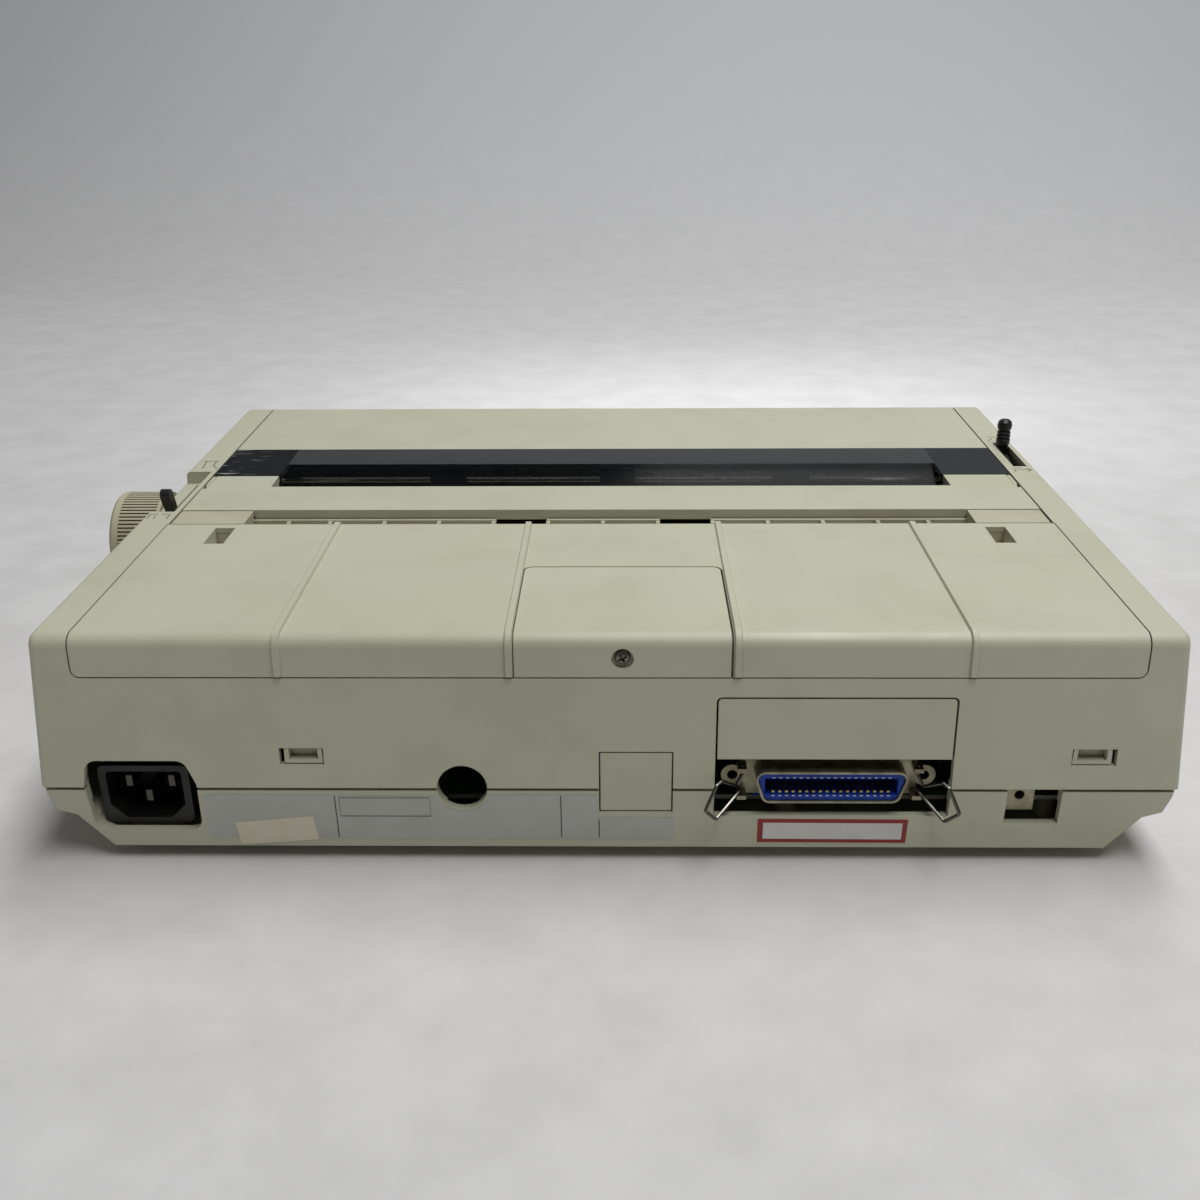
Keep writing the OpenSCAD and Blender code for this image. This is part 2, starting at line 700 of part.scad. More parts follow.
module paper_chute() in_frame() color(beige) {
    back = slot_rear - 1.7;
    knee = body_h - 8;
    lip = body_h - 3.4;
    front = slot_front - 0.2;
    centre = [platen_y, platen_z];
    arc = [for (i = [0:12]) guide_from + (guide_to - guide_from) * i / 12];
    inner = concat([for (a = arc) centre + polar(guide_in, a)], [[back, knee], [back, body_h - 3]]);
    outer = concat([[back + 1.6, body_h - 3], [back + 1.6, knee - 0.9]],
        [for (i = [12:-1:0]) centre + polar(guide_in + guide_t, arc[i])]);
    low = centre + polar(guide_in + guide_t / 2, guide_to);
    high = [back + 0.8, knee - 0.45];
    difference() {
        along_x(-throat_x - 1, throat_x + 1) polygon(concat(inner, outer));
        for (x = press_roller_x) block([x - press_roller_w / 2 - 1, x + press_roller_w / 2 + 1],
            [press_y - 9, press_y + 12], [press_z - 2, press_z + 10]);
    }
    difference() {
        block([-throat_x - 1, throat_x + 1], [front, front + 1.6], [body_h - 14, lip]);
        for (x = [33.5, -29.5])
            block([x - 9.7, x + 9.7], [front - over, front + 3], [body_h - 11, body_h]);
    }
    for (x = concat([for (k = [-5:5]) 2 + 21 * k + 0.1], [-122, 123])) along_x(x - 0.8, x + 0.8)
        polygon([[front + 0.8, body_h - 12.5], [front + 2.4, body_h - 12], [front + 4.8, body_h - 7],
            [front + 4.8, lip - 0.2], [front + 0.8, lip - 0.2]]);
    for (sx = [-1, 1]) {
        x = sx > 0 ? throat_x : -throat_x - 2;
        along_x(x, x + 2) polygon([[front + 0.8, body_h - 13.5], low + 0.25 * (high - low), high,
            [back + 0.8, body_h - 1], [front + 0.8, body_h - 1]]);
        flap = sx > 0 ? [throat_x, rail_x - seam] : [-rail_x + seam, -throat_x];
        block(flap, [slot_front, slot_rear - 0.1], [body_h - 2.2, body_h]);
        seat = sx > 0 ? [throat_x + 1, frame_x] : [-frame_x, -throat_x - 1];
        block(seat, [front + 1.5, front + 7], [body_h - 18, body_h - 14]);
    }
}

module feet() in_frame() color(rubber) for (sx = [-1, 1], sy = [-1, 1])
    translate([sx * (half_w - 34), sy * (half_d - 24), 0]) rotate_extrude()
        polygon([[0, 0], [foot_r - 1, 0], [foot_r, 1], [foot_r, foot_h], [0, foot_h]]);

module case_screws() in_frame() color(steel) for (p = screw_places) {
    rod_z(screw_seat - 4.5, screw_seat - 2.5, p[0], p[1], 3);
    rod_z(screw_seat - 2.5, part_z + 10, p[0], p[1], 1.45);
}

// Inner frames
module side_frame(bores) difference() {
    along_x(0, frame_t) polygon(rounded([
        [guide_y - 50, floor_z], [platen_y + 74, floor_z], [platen_y + 74, platen_z],
        [platen_y + 32, platen_z + 12], [platen_y - 20, platen_z + 12],
        [platen_y - 26, platen_z - 6], [guide_y - 50, platen_z - 12]], 4));
    for (b = bores) rod_x(-over, frame_t + over, b[0], b[1], b[2]);
}

common_bores = [[platen_y, platen_z, shaft_r + fit], [guide_y, guide_z, guide_r],
    [bail_pivot_y, bail_pivot_z, bail_pin_r + fit], [press_pivot_y, press_pivot_z, press_pivot_r + fit]];

module left_side_frame() in_frame() color(zinc)
    translate([-frame_x - frame_t, 0, 0]) side_frame(common_bores);

module right_side_frame() in_frame() color(zinc) {
    translate([frame_x, 0, 0]) side_frame(concat(common_bores, [[motor_y, motor_z, spindle_r + 1]]));
    rod_x(frame_x + frame_t, gear_x - 0.3, idler_y, idler_z, stud_r + 2);
    rod_x(frame_x + frame_t, gear_x + gear_w + 1, idler_y, idler_z, stud_r);
    rod_x(frame_x + frame_t, release_slot_x + release_t + 1.5, release_pivot_y, release_pivot_z, stud_r);
}

module guide_shaft() in_frame() color(steel)
    rod_x(-frame_x - frame_t, frame_x + frame_t, guide_y, guide_z, guide_r);

module front_rail() in_frame() color(zinc) along_x(-frame_x + 6.5, frame_x - 6.5) polygon([
    [rail_y + 1, floor_z], [rail_y + 1, rail_top], [rail_y - 1, rail_top],
    [rail_y - 1, floor_z + 1.5], [rail_y - 14, floor_z + 1.5], [rail_y - 14, floor_z]]);

module belt_outline(r) {
    for (sx = [-1, 1]) translate([sx * pulley_x, belt_y]) circle(r);
    translate([0, belt_y]) square([2 * pulley_x, 2 * r], center = true);
}

module drive_belt() in_frame() color(black) translate([0, 0, belt_z]) linear_extrude(belt_w) difference() {
    belt_outline(belt_r + belt_t);
    belt_outline(belt_r);
}

module carriage_motor() in_frame() color(steel) difference() {
    union() {
        rod_z(floor_z, belt_z - 3.5, pulley_x, belt_y, 14);
        block([pulley_x - 18, pulley_x + 14], [belt_y - 14, belt_y + 14], [belt_z - 4.5, belt_z - 3]);
    }
    rod_z(floor_z + 2, belt_z, pulley_x, belt_y, spindle_r + fit);
}

module belt_tensioner() in_frame() color(zinc) {
    block([-pulley_x - 14, -pulley_x + 14], [belt_y - 9, belt_y + 9], [floor_z, floor_z + 1.5]);
    rod_z(floor_z, belt_z - 1.5, -pulley_x, belt_y, 5);
    rod_z(floor_z, belt_z + belt_w + 2, -pulley_x, belt_y, 2);
}

module line_feed_motor() in_frame() color(steel) difference() {
    union() {
        rod_x(frame_x - motor_len, frame_x - 2, motor_y, motor_z, motor_r);
        along_x(frame_x - 2, frame_x) translate([motor_y, motor_z]) round_rect(motor_plate, motor_plate, 4);
    }
    rod_x(frame_x - motor_len + 3, frame_x + over, motor_y, motor_z, spindle_r + fit);
}

// Electronics
module main_board() in_frame() color(green)
    block(board_x, [board_y0, board_y1], [board_z, board_z + board_t]);

module board_parts() in_frame() color(black) {
    top = board_z + board_t;
    for (c = chips) block([c[0], c[0] + c[1]], [board_y0 + 7, board_y0 + 7 + c[2]], [top, top + chip_h]);
    block(sink_x, [board_y0 + 5, board_y0 + 29], [top, top + chip_h - 1]);
    for (i = [0:3]) let (y = board_y0 + 5 + 7 * i) block(sink_x, [y, y + 3], [top, top + sink_h]);
    for (x = can_x) rod_z(top, top + can_h, x, board_y0 + 34, can_r);
}

module transformer() in_frame() color(steel) {
    y0 = half_d - 66;
    block([core_x - 28, core_x + 28], [y0, y0 + 44], [floor_z, floor_z + 4]);
    block([core_x - 24, core_x + 24], [y0 + 12, y0 + 32], [floor_z + 4, floor_z + core_h]);
    for (y = [[y0 + 2, y0 + 12], [y0 + 32, y0 + 42]])
        block([core_x - coil_x, core_x + coil_x], y, [floor_z + 10, floor_z + core_h - 6]);
}

module mains_inlet() in_frame() color(black) difference() {
    union() {
        along_y(inlet_y - 3, inlet_y) translate([inlet_x, inlet_z])
            polygon(rounded(inlet_shape(inlet_w, inlet_h, 2), 2));
        along_y(inlet_y - inlet_depth, inlet_y - 2) translate([inlet_x, inlet_z])
            polygon(rounded(inlet_shape(inlet_w - 2, inlet_h - 2, 3), 2));
    }
    along_y(inlet_y - inlet_deep, inlet_y + over) translate([inlet_x, inlet_z])
        polygon(rounded(inlet_shape(inlet_w - 4.8, inlet_h - 4.2, 5), 1.5));
}

function inlet_shape(w, h, cut) = [[-w / 2 + cut, -h / 2], [w / 2 - cut, -h / 2],
    [w / 2, -h / 2 + cut], [w / 2, h / 2], [-w / 2, h / 2], [-w / 2, -h / 2 + cut]];

module inlet_pins() in_frame() color(zinc) for (p = [[-7, 2.2, 5], [0, -1.8, 2.5], [7, 2.2, 5]])
    block([inlet_x + p[0] - 1, inlet_x + p[0] + 1], [inlet_y - inlet_deep, inlet_y - p[2]],
        [inlet_z + p[1] - 2, inlet_z + p[1] + 2]);

function conn_shape(grow) = rounded([
    [-conn_w / 2 - grow, conn_h / 2 + grow], [-conn_w / 2 + 3.4 - grow, -conn_h / 2 - grow],
    [conn_w / 2 - 3.4 + grow, -conn_h / 2 - grow], [conn_w / 2 + grow, conn_h / 2 + grow]], 3 + grow);

module connector_shell() in_frame() color(zinc) translate([conn_x, 0, conn_z]) difference() {
    union() {
        along_y(conn_flange_y, conn_flange_y + 1) union() {
            square([2 * lock_x + 1, flange_h], center = true);
            for (sx = [-1, 1]) translate([sx * ear_x, 0]) circle(ear_r);
        }
        along_y(conn_flange_y, conn_face_y) polygon(conn_shape(0));
        for (sx = [-1, 1], z = lock_tabs)
            block([sx * lock_x - 1.5, sx * lock_x + 1.5], [conn_flange_y, lock_y + 1.6], z);
    }
    along_y(conn_flange_y - over, conn_face_y + over) polygon(conn_shape(-0.7));
    for (sx = [-1, 1]) {
        rod_y(conn_flange_y - over, conn_flange_y + 2, sx * ear_x, 0, ear_hole_r);
        rod_z(-9, 9, sx * lock_x, lock_y, lock_r + fit);
    }
}

module connector_insert() in_frame() color(blue) translate([conn_x, 0, conn_z]) difference() {
    union() {
        along_y(conn_flange_y - 12, conn_face_y - 0.8) polygon(conn_shape(-0.8));
        block([-pocket_x - 2.8, pocket_x + 2.8], [conn_flange_y - 16, conn_flange_y], [board_z + board_t - conn_z, 5]);
    }
    block([-pocket_x, pocket_x], [conn_face_y - 8, conn_face_y + over], [-pocket_z, pocket_z]);
}

module connector_contacts() in_frame() color(gold) translate([conn_x, 0, conn_z])
    for (i = [0:contact_count - 1], side = [-1, 1]) {
        x = (i - (contact_count - 1) / 2) * contact_pitch;
        z = side > 0 ? [pocket_z - 0.55, pocket_z] : [-pocket_z, 0.55 - pocket_z];
        block([x - 0.5, x + 0.5], [conn_face_y - 8, conn_face_y - 1.8], z);
    }

// Wire bent in one plane, through the corners of a path
module bent_wire(path, bend, r, sides = 8) {
    k = len(path);
    line = concat([path[0]], [for (i = [1:k - 2]) each corner_arc(path[i - 1], path[i], path[i + 1], bend, 3)],
        [path[k - 1]]);
    n = len(line);
    points = [for (i = [0:n - 1]) let (d = line[min(i + 1, n - 1)] - line[max(i - 1, 0)], t = d / norm(d))
        for (j = [0:sides - 1]) let (a = j * 360 / sides)
        [r * cos(a), line[i][0] - r * sin(a) * t[1], line[i][1] + r * sin(a) * t[0]]];
    around = [for (i = [0:n - 2], j = [0:sides - 1]) let (a = i * sides + j, b = i * sides + (j + 1) % sides)
        each [[a, b, b + sides], [a, b + sides, a + sides]]];
    polyhedron(points, concat(around, [[for (j = [sides - 1:-1:0]) j]],
        [[for (j = [0:sides - 1]) (n - 1) * sides + j]]));
}

module plug_lock(sx, out) translate([conn_x + sx * lock_x, lock_y, conn_z]) rotate([0, 0, -sx * out]) {
    bent_wire(lock_loop, 0.8, lock_r - 0.07);
    rod_z(4.4, 5.6, 0, 0, lock_r);
    rod_z(-7.2, -5.8, 0, 0, lock_r);
}

module plug_lock_inner() in_frame() color(steel) plug_lock(1, lock_out[0]);
module plug_lock_outer() in_frame() color(steel) plug_lock(-1, lock_out[1]);

module ground_terminal() in_frame() color(zinc) difference() {
    union() {
        block([earth_x - 4.7, earth_x + 4.7], [half_d - 7.5, half_d - 5.5], [board_z - 1, earth_z1 + 4]);
        block([earth_x - 4.7, earth_x + 4.7], [board_y1 + 0.3, half_d - 5.5], [board_z - 1, board_z + 1]);
        block([earth_x - 4.7, earth_x + 4.7], [board_y1 - 6, board_y1 + 1], [board_z + board_t, board_z + board_t + 1]);
        block([earth_x - 4.7, earth_x + 4.7], [board_y1 + 0.3, board_y1 + 1.3], [board_z, board_z + board_t + 1]);
    }
    rod_y(half_d - 9, half_d - 4, earth_x, earth_z, earth_hole_r);
}

// Control panel and switch
module panel_place() translate([panel_mid_x, front_y(panel_z), panel_z]) rotate([90 - slope_a, 0, 0]) children();

module plate_at(n0, n1) translate([0, 0, n0]) linear_extrude(n1 - n0) children();

module control_panel() in_frame() color(smoke) panel_place() difference() {
    union() {
        plate_at(-3.5, 0) square([panel_w, panel_h], center = true);
        plate_at(-4, -wall) square([panel_w + 5, panel_h + 4], center = true);
        for (sx = [-1, 1], sy = [-1, 1]) translate([sx * (panel_w / 2 - 5), sy * (panel_h / 2 - 4)])
            plate_at(-8, -3) circle(2);
    }
    for (x = button_x) translate([x, -3]) plate_at(-5, over)
        round_rect(button_w / 2 + 2 * fit, button_h / 2 + 2 * fit, 1 + 2 * fit);
    for (x = lamp_x) translate([x, 6.5]) plate_at(-5, over) circle(lamp_r + fit);
}

module indicator_lamps() in_frame() color([0.3, 0.8, 0.35]) panel_place() for (x = lamp_x)
    translate([x, 6.5, 0]) rotate_extrude()
        polygon([[0, -8], [lamp_r, -8], [lamp_r, 0], [0.9, 0.6], [0, 0.8]]);

module panel_board() in_frame() color(green) panel_place() plate_at(-9.6, -8)
    square([panel_w - 4, panel_h - 3], center = true);

module button(i) in_frame() color(ivory) panel_place() translate([button_x[i], -3]) {
    plate_at(-6, 1.4) round_rect(button_w / 2, button_h / 2, 1);
}

module select_button() button(0);
module line_feed_button() button(1);
module form_feed_button() button(2);

module switch_body() in_frame() color(black) difference() {
    union() {
        block([rocker_x - 14, side_x(switch_z) - 0.6], [switch_y - switch_l / 2, switch_y + switch_l / 2],
            [switch_z - switch_h / 2, switch_z + switch_h / 2]);
        along_y(switch_y - switch_l / 2 - 1.5, switch_y + switch_l / 2 + 1.5) polygon([
            [side_x(switch_low), switch_low], [side_x(switch_low) + 1.2, switch_low],
            [side_x(switch_high) + 1.2, switch_high], [side_x(switch_high), switch_high]]);
        block([side_x(switch_z) - 1, side_x(switch_z) + 0.8], [switch_y - switch_l / 2, switch_y + switch_l / 2],
            [switch_z - switch_h / 2, switch_z + switch_h / 2]);
    }
    block([rocker_x - 5, half_w + 2 * over], [switch_y - 8.2, switch_y + 8.2], [switch_z - 5.2, switch_z + 5.2]);
    rod_z(switch_z - 8, switch_z + 8, rocker_x, switch_y, cover_pin_r + fit);
}

module power_rocker() in_frame() color(black) translate([rocker_x, switch_y, 0]) rotate([0, 0, -rocker_tilt]) {
    rod_z(switch_z - 6.1, switch_z + 6.1, 0, 0, cover_pin_r);
    translate([0, 0, switch_z - 4.9]) linear_extrude(9.8)
        polygon([[-3.4, -2], [-3.4, 2], [0, 7.4], [3.8, 7.6], [2.6, 0], [3.8, -7.6], [0, -7.4]]);
}

// Covers
module access_cover() in_frame() color(beige) difference() {
    intersection() {
        case_skin(wall);
        block([-rail_x, rail_x], [-half_d - over, window_front - 0.1], [body_h - cover_lip, body_h + over]);
    }
}

module visor() in_frame() color(smoke) {
    drop = [window_rear - seam, body_h - 6.6];
    along_x(-throat_x, throat_x) polygon([[window_front, body_h - window_t], [window_front, body_h],
        [ridge_y, body_h], drop, drop - [1.0, 1.7], [ridge_y - 0.4, body_h - window_t]]);
    block([-throat_x, throat_x], [window_front - 6, window_front + 1.5], [body_h - wall - 1.5, body_h - wall - 0.02]);
    block([-throat_x, throat_x], [window_front, window_front + 1.5], [body_h - wall - 1, body_h - 1]);
    for (sx = [-1, 1]) {
        ends = sx > 0 ? [throat_x, rail_x] : [-rail_x, -throat_x];
        block(ends, [window_front, window_rear - seam], [body_h - window_t, body_h]);
        cheek = sx > 0 ? throat_x - 1.2 : -throat_x - 0.4;
        along_x(cheek, cheek + 1.6) polygon([[ridge_y - 1, body_h - window_t], [ridge_y, body_h],
            [window_rear - seam, body_h], [window_rear - seam, body_h - 4], drop - [1.0, 1.7],
            [ridge_y - 0.4, body_h - window_t]]);
    }
}

// Arms under the visor's ends that carry the cover on its two hinge pins
module cover_arms() in_frame() color(smoke) for (sx = [-1, 1]) {
    arm = sx > 0 ? arm_x + 0.2 : -rail_x;
    along_x(arm, arm + 1.4) polygon([[window_rear - 12, body_h - 4.2], [window_rear - 12, body_h - window_t],
        [window_rear - seam, body_h - window_t], [window_rear - seam, body_h - 0.3],
        [arm_end - 2.5, body_h - 0.3], [arm_end - 0.8, hinge_z], [arm_end - 2.5, body_h - 4.2]]);
    pin = sx > 0 ? [rail_x - 0.5, rail_x + 2] : [-rail_x - 2, -rail_x + 0.5];
    rod_x(pin[0], pin[1], hinge_y, hinge_z, cover_pin_r);
}

module paper_cover() in_frame() color(beige) {
    difference() {
        block([-rail_x, rail_x], [window_rear, paper_cover_rear], [top_under, body_h]);
        block([-throat_x - 0.5, throat_x + 0.5], [window_rear - over, throat_rear], [top_under - over, body_h + over]);
        for (sx = [-1, 1]) block([sx * (rail_x + 1) - 2.8, sx * (rail_x + 1) + 2.8],
            [window_rear - over, lip_rear + 0.6], [top_under - over, body_h + over]);
    }
    block([-throat_x - 2.5, throat_x + 2.5], [throat_rear, lip_rear], [body_h - 6.8, top_under]);
    for (sx = [-1, 1]) {
        side = sx > 0 ? [throat_x + 0.5, throat_x + 2.5] : [-throat_x - 2.5, -throat_x - 0.5];
        block(side, [window_rear + 1.5, throat_rear + 1], [body_h - 9.5, top_under]);
        pin = sx > 0 ? [rail_x - 0.5, rail_x + 2] : [-rail_x - 2, -rail_x + 0.5];
        rod_x(pin[0], pin[1], paper_hinge_y, hinge_z, cover_pin_r);
    }
    block([-throat_x, throat_x], [paper_cover_rear - 2, paper_cover_rear], [body_h - 4, top_under]);
}

// Platen
module platen_roller() in_frame() color(rubber) difference() {
    rod_x(-roller_l / 2, roller_l / 2, platen_y, platen_z, platen_r - 0.15);
    rod_x(-roller_l / 2 - over, roller_l / 2 + over, platen_y, platen_z, shaft_r);
}

module platen_shaft() in_frame() color(steel)
    rod_x(-frame_x - frame_t - 2, knob_x + knob_l - 4, platen_y, platen_z, shaft_r);

module pin_wheels() in_frame() color(black) for (sx = [-1, 1]) {
    x = sx * (roller_l / 2 + 1 + wheel_w / 2);
    difference() {
        rod_x(x - wheel_w / 2, x + wheel_w / 2, platen_y, platen_z, platen_r - 0.35);
        rod_x(x - wheel_w, x + wheel_w, platen_y, platen_z, shaft_r);
    }
    for (i = [0:pin_count - 1]) translate([x, platen_y, platen_z]) rotate([i * 360 / pin_count, 0, 0]) {
        translate([0, 0, platen_r - 3]) cylinder(h = 3.6, r = 1.8);
        translate([0, 0, platen_r + 0.6]) cylinder(h = pin_h - 0.6, r1 = 1.8, r2 = 0.9);
    }
}

module platen_knob() in_frame() color(beige) difference() {
    union() {
        rod_x(knob_x, knob_x + knob_l - 2, platen_y, platen_z, knob_r - 1);
        translate([knob_x + knob_l, platen_y, platen_z]) rotate([0, -90, 0]) rotate_extrude()
            polygon([[0, 1], [knob_r - 4, 1], [knob_r - 2.6, 0], [knob_r - 1, 0.4], [knob_r, 1.6],
                [knob_r, 4], [0, 4]]);
        rod_x(knob_x, knob_x + 1.5, platen_y, platen_z, knob_r);
        translate([0, platen_y, platen_z]) along_x(knob_x, knob_x + knob_l - 3) for (i = [0:knob_ribs - 1])
            rotate(i * 360 / knob_ribs) translate([knob_r - 1.6, -0.5]) square([1.5, 1]);
    }
    rod_x(knob_x - over, knob_x + knob_l - 4, platen_y, platen_z, shaft_r);
}

module platen_gear() in_frame() color(ivory) gear(platen_teeth, platen_y, platen_z, 0, shaft_r);

module idler_gear() in_frame() color(ivory)
    gear(idler_teeth, idler_y, idler_z, idler_turn, stud_r + fit);

module motor_pinion() in_frame() color(steel) {
    gear(pinion_teeth, motor_y, motor_z, pinion_turn, spindle_r);
    rod_x(frame_x - 21, gear_x + gear_w, motor_y, motor_z, spindle_r);
}

// Paper release
module release_lever() in_frame() color(black) difference() {
    x = release_slot_x + 0.1;
    mid = x + release_t / 2;
    union() {
        along_x(x, x + release_t) polygon([[release_pivot_y - 4, release_pivot_z],
            [release_pivot_y + 4, release_pivot_z - 1], [release_y + 4, recess_z - 25],
            [release_y + 4, recess_z - 9], [release_y + 2.2, recess_z - 3], [release_y + 2.2, recess_z + 3],
            [release_y - 2.2, recess_z + 3], [release_y - 2.2, recess_z - 4], [release_y - 2.6, recess_z - 12],
            [release_y - 4, recess_z - 25]]);
        rod_x(x - 1.5, x + release_t, release_pivot_y, release_pivot_z, 5.5);
        hull() {
            rod_x(mid - 1.7, mid + 1.7, release_y, recess_z + 3.4, 2.3, $fn = hull_fn);
            rod_x(mid - 0.9, mid + 2.7, release_y + 0.4, body_h + 3.4, 2.4, $fn = hull_fn);
        }
    }
    rod_x(x - 4, x + 4, release_pivot_y, release_pivot_z, stud_r + fit);
}

module pressure_frame() in_frame() color(zinc) {
    rod_x(-frame_x - frame_t, frame_x + frame_t, press_pivot_y, press_pivot_z, press_pivot_r);
    rod_x(-90, 90, press_y, press_z, press_rod_r);
    for (x = [-90, -40, 40, 90]) along_x(x - 1, x + 1) polygon([
        [press_y - 2.5, press_z - 2.5], [press_y + 1, press_z - 4], [press_pivot_y + 1, press_pivot_z - 4],
        [press_pivot_y + 4, press_pivot_z], [press_pivot_y, press_pivot_z + 4], [press_y + 1, press_z + 0.8],
        [press_y - 2.5, press_z + 0.6]]);
}

module pressure_rollers() in_frame() color(rubber) for (x = press_roller_x) difference() {
    rod_x(x - press_roller_w / 2, x + press_roller_w / 2, press_y, press_z, press_r);
    rod_x(x - press_roller_w, x + press_roller_w, press_y, press_z, press_rod_r);
}

// Paper bail
module bail_frame() in_frame() color(steel) {
    rod_x(-bail_arm_x, bail_arm_x, bail_rod_y, bail_rod_z, bail_rod_r);
    for (sx = [-1, 1]) {
        x = sx > 0 ? bail_arm_x - 1 : -bail_arm_x - 1;
        along_x(x, x + 2) polygon(rounded([
            [bail_pivot_y - 5, bail_pivot_z - 5], [bail_pivot_y + 5, bail_pivot_z - 5],
            [bail_rod_y + 3.4, bail_rod_z + 3.4], [bail_rod_y - 3.4, bail_rod_z + 3.4]], 2.5));
    }
    rod_x(bail_arm_x, frame_x + frame_t + 1, bail_pivot_y, bail_pivot_z, bail_pin_r);
    rod_x(-bail_slot_x - 1.8, -bail_arm_x, bail_pivot_y, bail_pivot_z, bail_pin_r);
}

module bail_rollers() in_frame() color(rubber) for (x = bail_roller_x) difference() {
    rod_x(x - bail_roller_w / 2, x + bail_roller_w / 2, bail_rod_y, bail_rod_z, bail_roller_r);
    rod_x(x - bail_roller_w, x + bail_roller_w, bail_rod_y, bail_rod_z, bail_rod_r);
}

module bail_lever() in_frame() color(black) {
    x = -bail_slot_x;
    y = bail_handle_y;
    difference() {
        union() {
            along_x(x - 1.8, x + 1.8) polygon([[bail_pivot_y - 5, bail_pivot_z - 3],
                [bail_pivot_y, bail_pivot_z - 6], [bail_pivot_y + 5, bail_pivot_z - 3],
                [bail_pivot_y + 9, body_h - 16], [bail_pivot_y + 13, body_h - 9], [bail_pivot_y + 12.5, body_h - 6.5],
                [y + 2.4, body_h - 2.8], [y + 2.4, body_h],
                [y - 2.4, body_h], [y - 2.4, body_h - 9], [bail_pivot_y - 1, body_h - 12]]);
        }
        rod_x(x - 3, x + 3, bail_pivot_y, bail_pivot_z, bail_pin_r);
    }
    translate([x, y, body_h - 1]) rotate_extrude() polygon([[0, 0], [2.1, 0], [2.1, 1.4], [2.9, 2.6], [2.9, 4.6],
        [2.4, 5.1], [2.9, 5.6], [2.9, 6.2], [2.3, 6.7], [2.85, 7.2], [2.85, 7.8], [2.2, 8.3], [2.9, 9.2],
        [3.1, 10.6], [2.8, 12.3], [1.8, 13.2], [0, 13.6]]);
}

// Carriage
module carriage() in_frame() color(black) translate([rest_x, 0, 0]) difference() {
    union() {
        block([-carriage_w / 2, carriage_w / 2], [carriage_y0, carriage_y1], [carriage_z0, carriage_z1]);
        block([-10, 10], [rail_y - 3.5, carriage_y0 + 1], [rail_top - 1, rail_top + 4]);
        block([-10, 10], [rail_y - 3.5, rail_y + 3.5], [rail_top - 6, rail_top + 4]);
        block([-6, 6], [belt_y + belt_r - 3, carriage_y0 + 1], [belt_z - 1.7, carriage_z1 - 2]);
        block([-carriage_w / 2, carriage_w / 2], [carriage_y0 - 22, carriage_y1], [carriage_z1 - 2, carriage_z1]);
        for (x = [-16, 12]) block([x, x + 4], [carriage_y0 - 20, carriage_y0 - 4], [carriage_z1 - 1, cartridge_z]);
    }
    rod_x(-carriage_w, carriage_w, guide_y, guide_z, guide_r + fit);
    block([-11, 11], [rail_y - 1 - play, rail_y + 1 + play], [rail_top - 7, rail_top + play]);
    block([-7, 7], [belt_y + belt_r - play, belt_y + belt_r + belt_t + play],
        [belt_z - 2, belt_z + belt_w + play]);
}

module print_head() in_frame() color(black) translate([rest_x, 0, 0]) {
    back = guide_y + 2;
    low = carriage_z1;
    high = ribbon_low + 11.5;
    block([-14, 14], [back - 2, head_front - 14], [low, low + 3]);
    for (i = [0:4]) block([-17 + 1.5 * (i % 2), 17 - 1.5 * (i % 2)], [back + 3.2 * i, back + 3.2 * i + 2],
        [low + 2, high]);
    block([-12, 12], [back, head_front - 14], [low + 2, high - 2]);
    along_x(-6, 6) polygon([[head_front - 14.5, low + 1], [head_front - 8, platen_z - 5], [head_front, platen_z - 2.6],
        [head_front, platen_z + 2.6], [head_front - 6, platen_z + 2.6], [head_front - 14.5, high - 3]]);
}

module ribbon_cartridge() in_frame() color(smoke) translate([rest_x, 0, 0]) {
    back = guide_y - 2;
    difference() {
        block([-cartridge_w / 2, cartridge_w / 2], [back - 44, back], [cartridge_z, ribbon_top]);
        rod_z(ribbon_top - 3, ribbon_top + over, 26, back - 24, 11);
        rod_z(cartridge_z + 2, ribbon_top, 26, back - 24, 2 + fit);
    }
    for (sx = [-1, 1]) along_horn(sx, back);
    block([-20, 20], [head_front + 0.7, head_front + 1.3], [platen_z - 4, platen_z + 2.5]);
}

module along_horn(sx, back) translate([0, 0, platen_z - 6]) linear_extrude(8.5) polygon([
    [sx * 22, back - 1], [sx * 30, back - 1], [sx * 22, head_front + 1.3], [sx * 19.5, head_front + 1.3]]);

module ribbon_knob() in_frame() color(ivory) translate([rest_x + 26, guide_y - 26, ribbon_top - 2.7]) {
    rod_z(-8, 1, 0, 0, 2);
    difference() {
        cylinder(h = 4.5, r = 9);
        for (i = [0:11]) rotate(i * 30) translate([9.4, 0, 1]) cylinder(h = 5, r = 1.4, $fn = 16);
    }
}

module drive_pulley() in_frame() color(ivory) {
    rod_z(belt_z - 1, belt_z + belt_w + 1, pulley_x, belt_y, pulley_r);
    rod_z(belt_z + belt_w + 0.4, belt_z + belt_w + 1.4, pulley_x, belt_y, pulley_r + 1.6);
    rod_z(floor_z + 3, belt_z, pulley_x, belt_y, spindle_r);
}

module idler_pulley() in_frame() color(ivory) difference() {
    union() {
        rod_z(belt_z - 1, belt_z + belt_w + 1, -pulley_x, belt_y, pulley_r);
        rod_z(belt_z + belt_w + 0.4, belt_z + belt_w + 1.4, -pulley_x, belt_y, pulley_r + 1.6);
    }
    rod_z(0, body_h, -pulley_x, belt_y, 2 + fit);
}

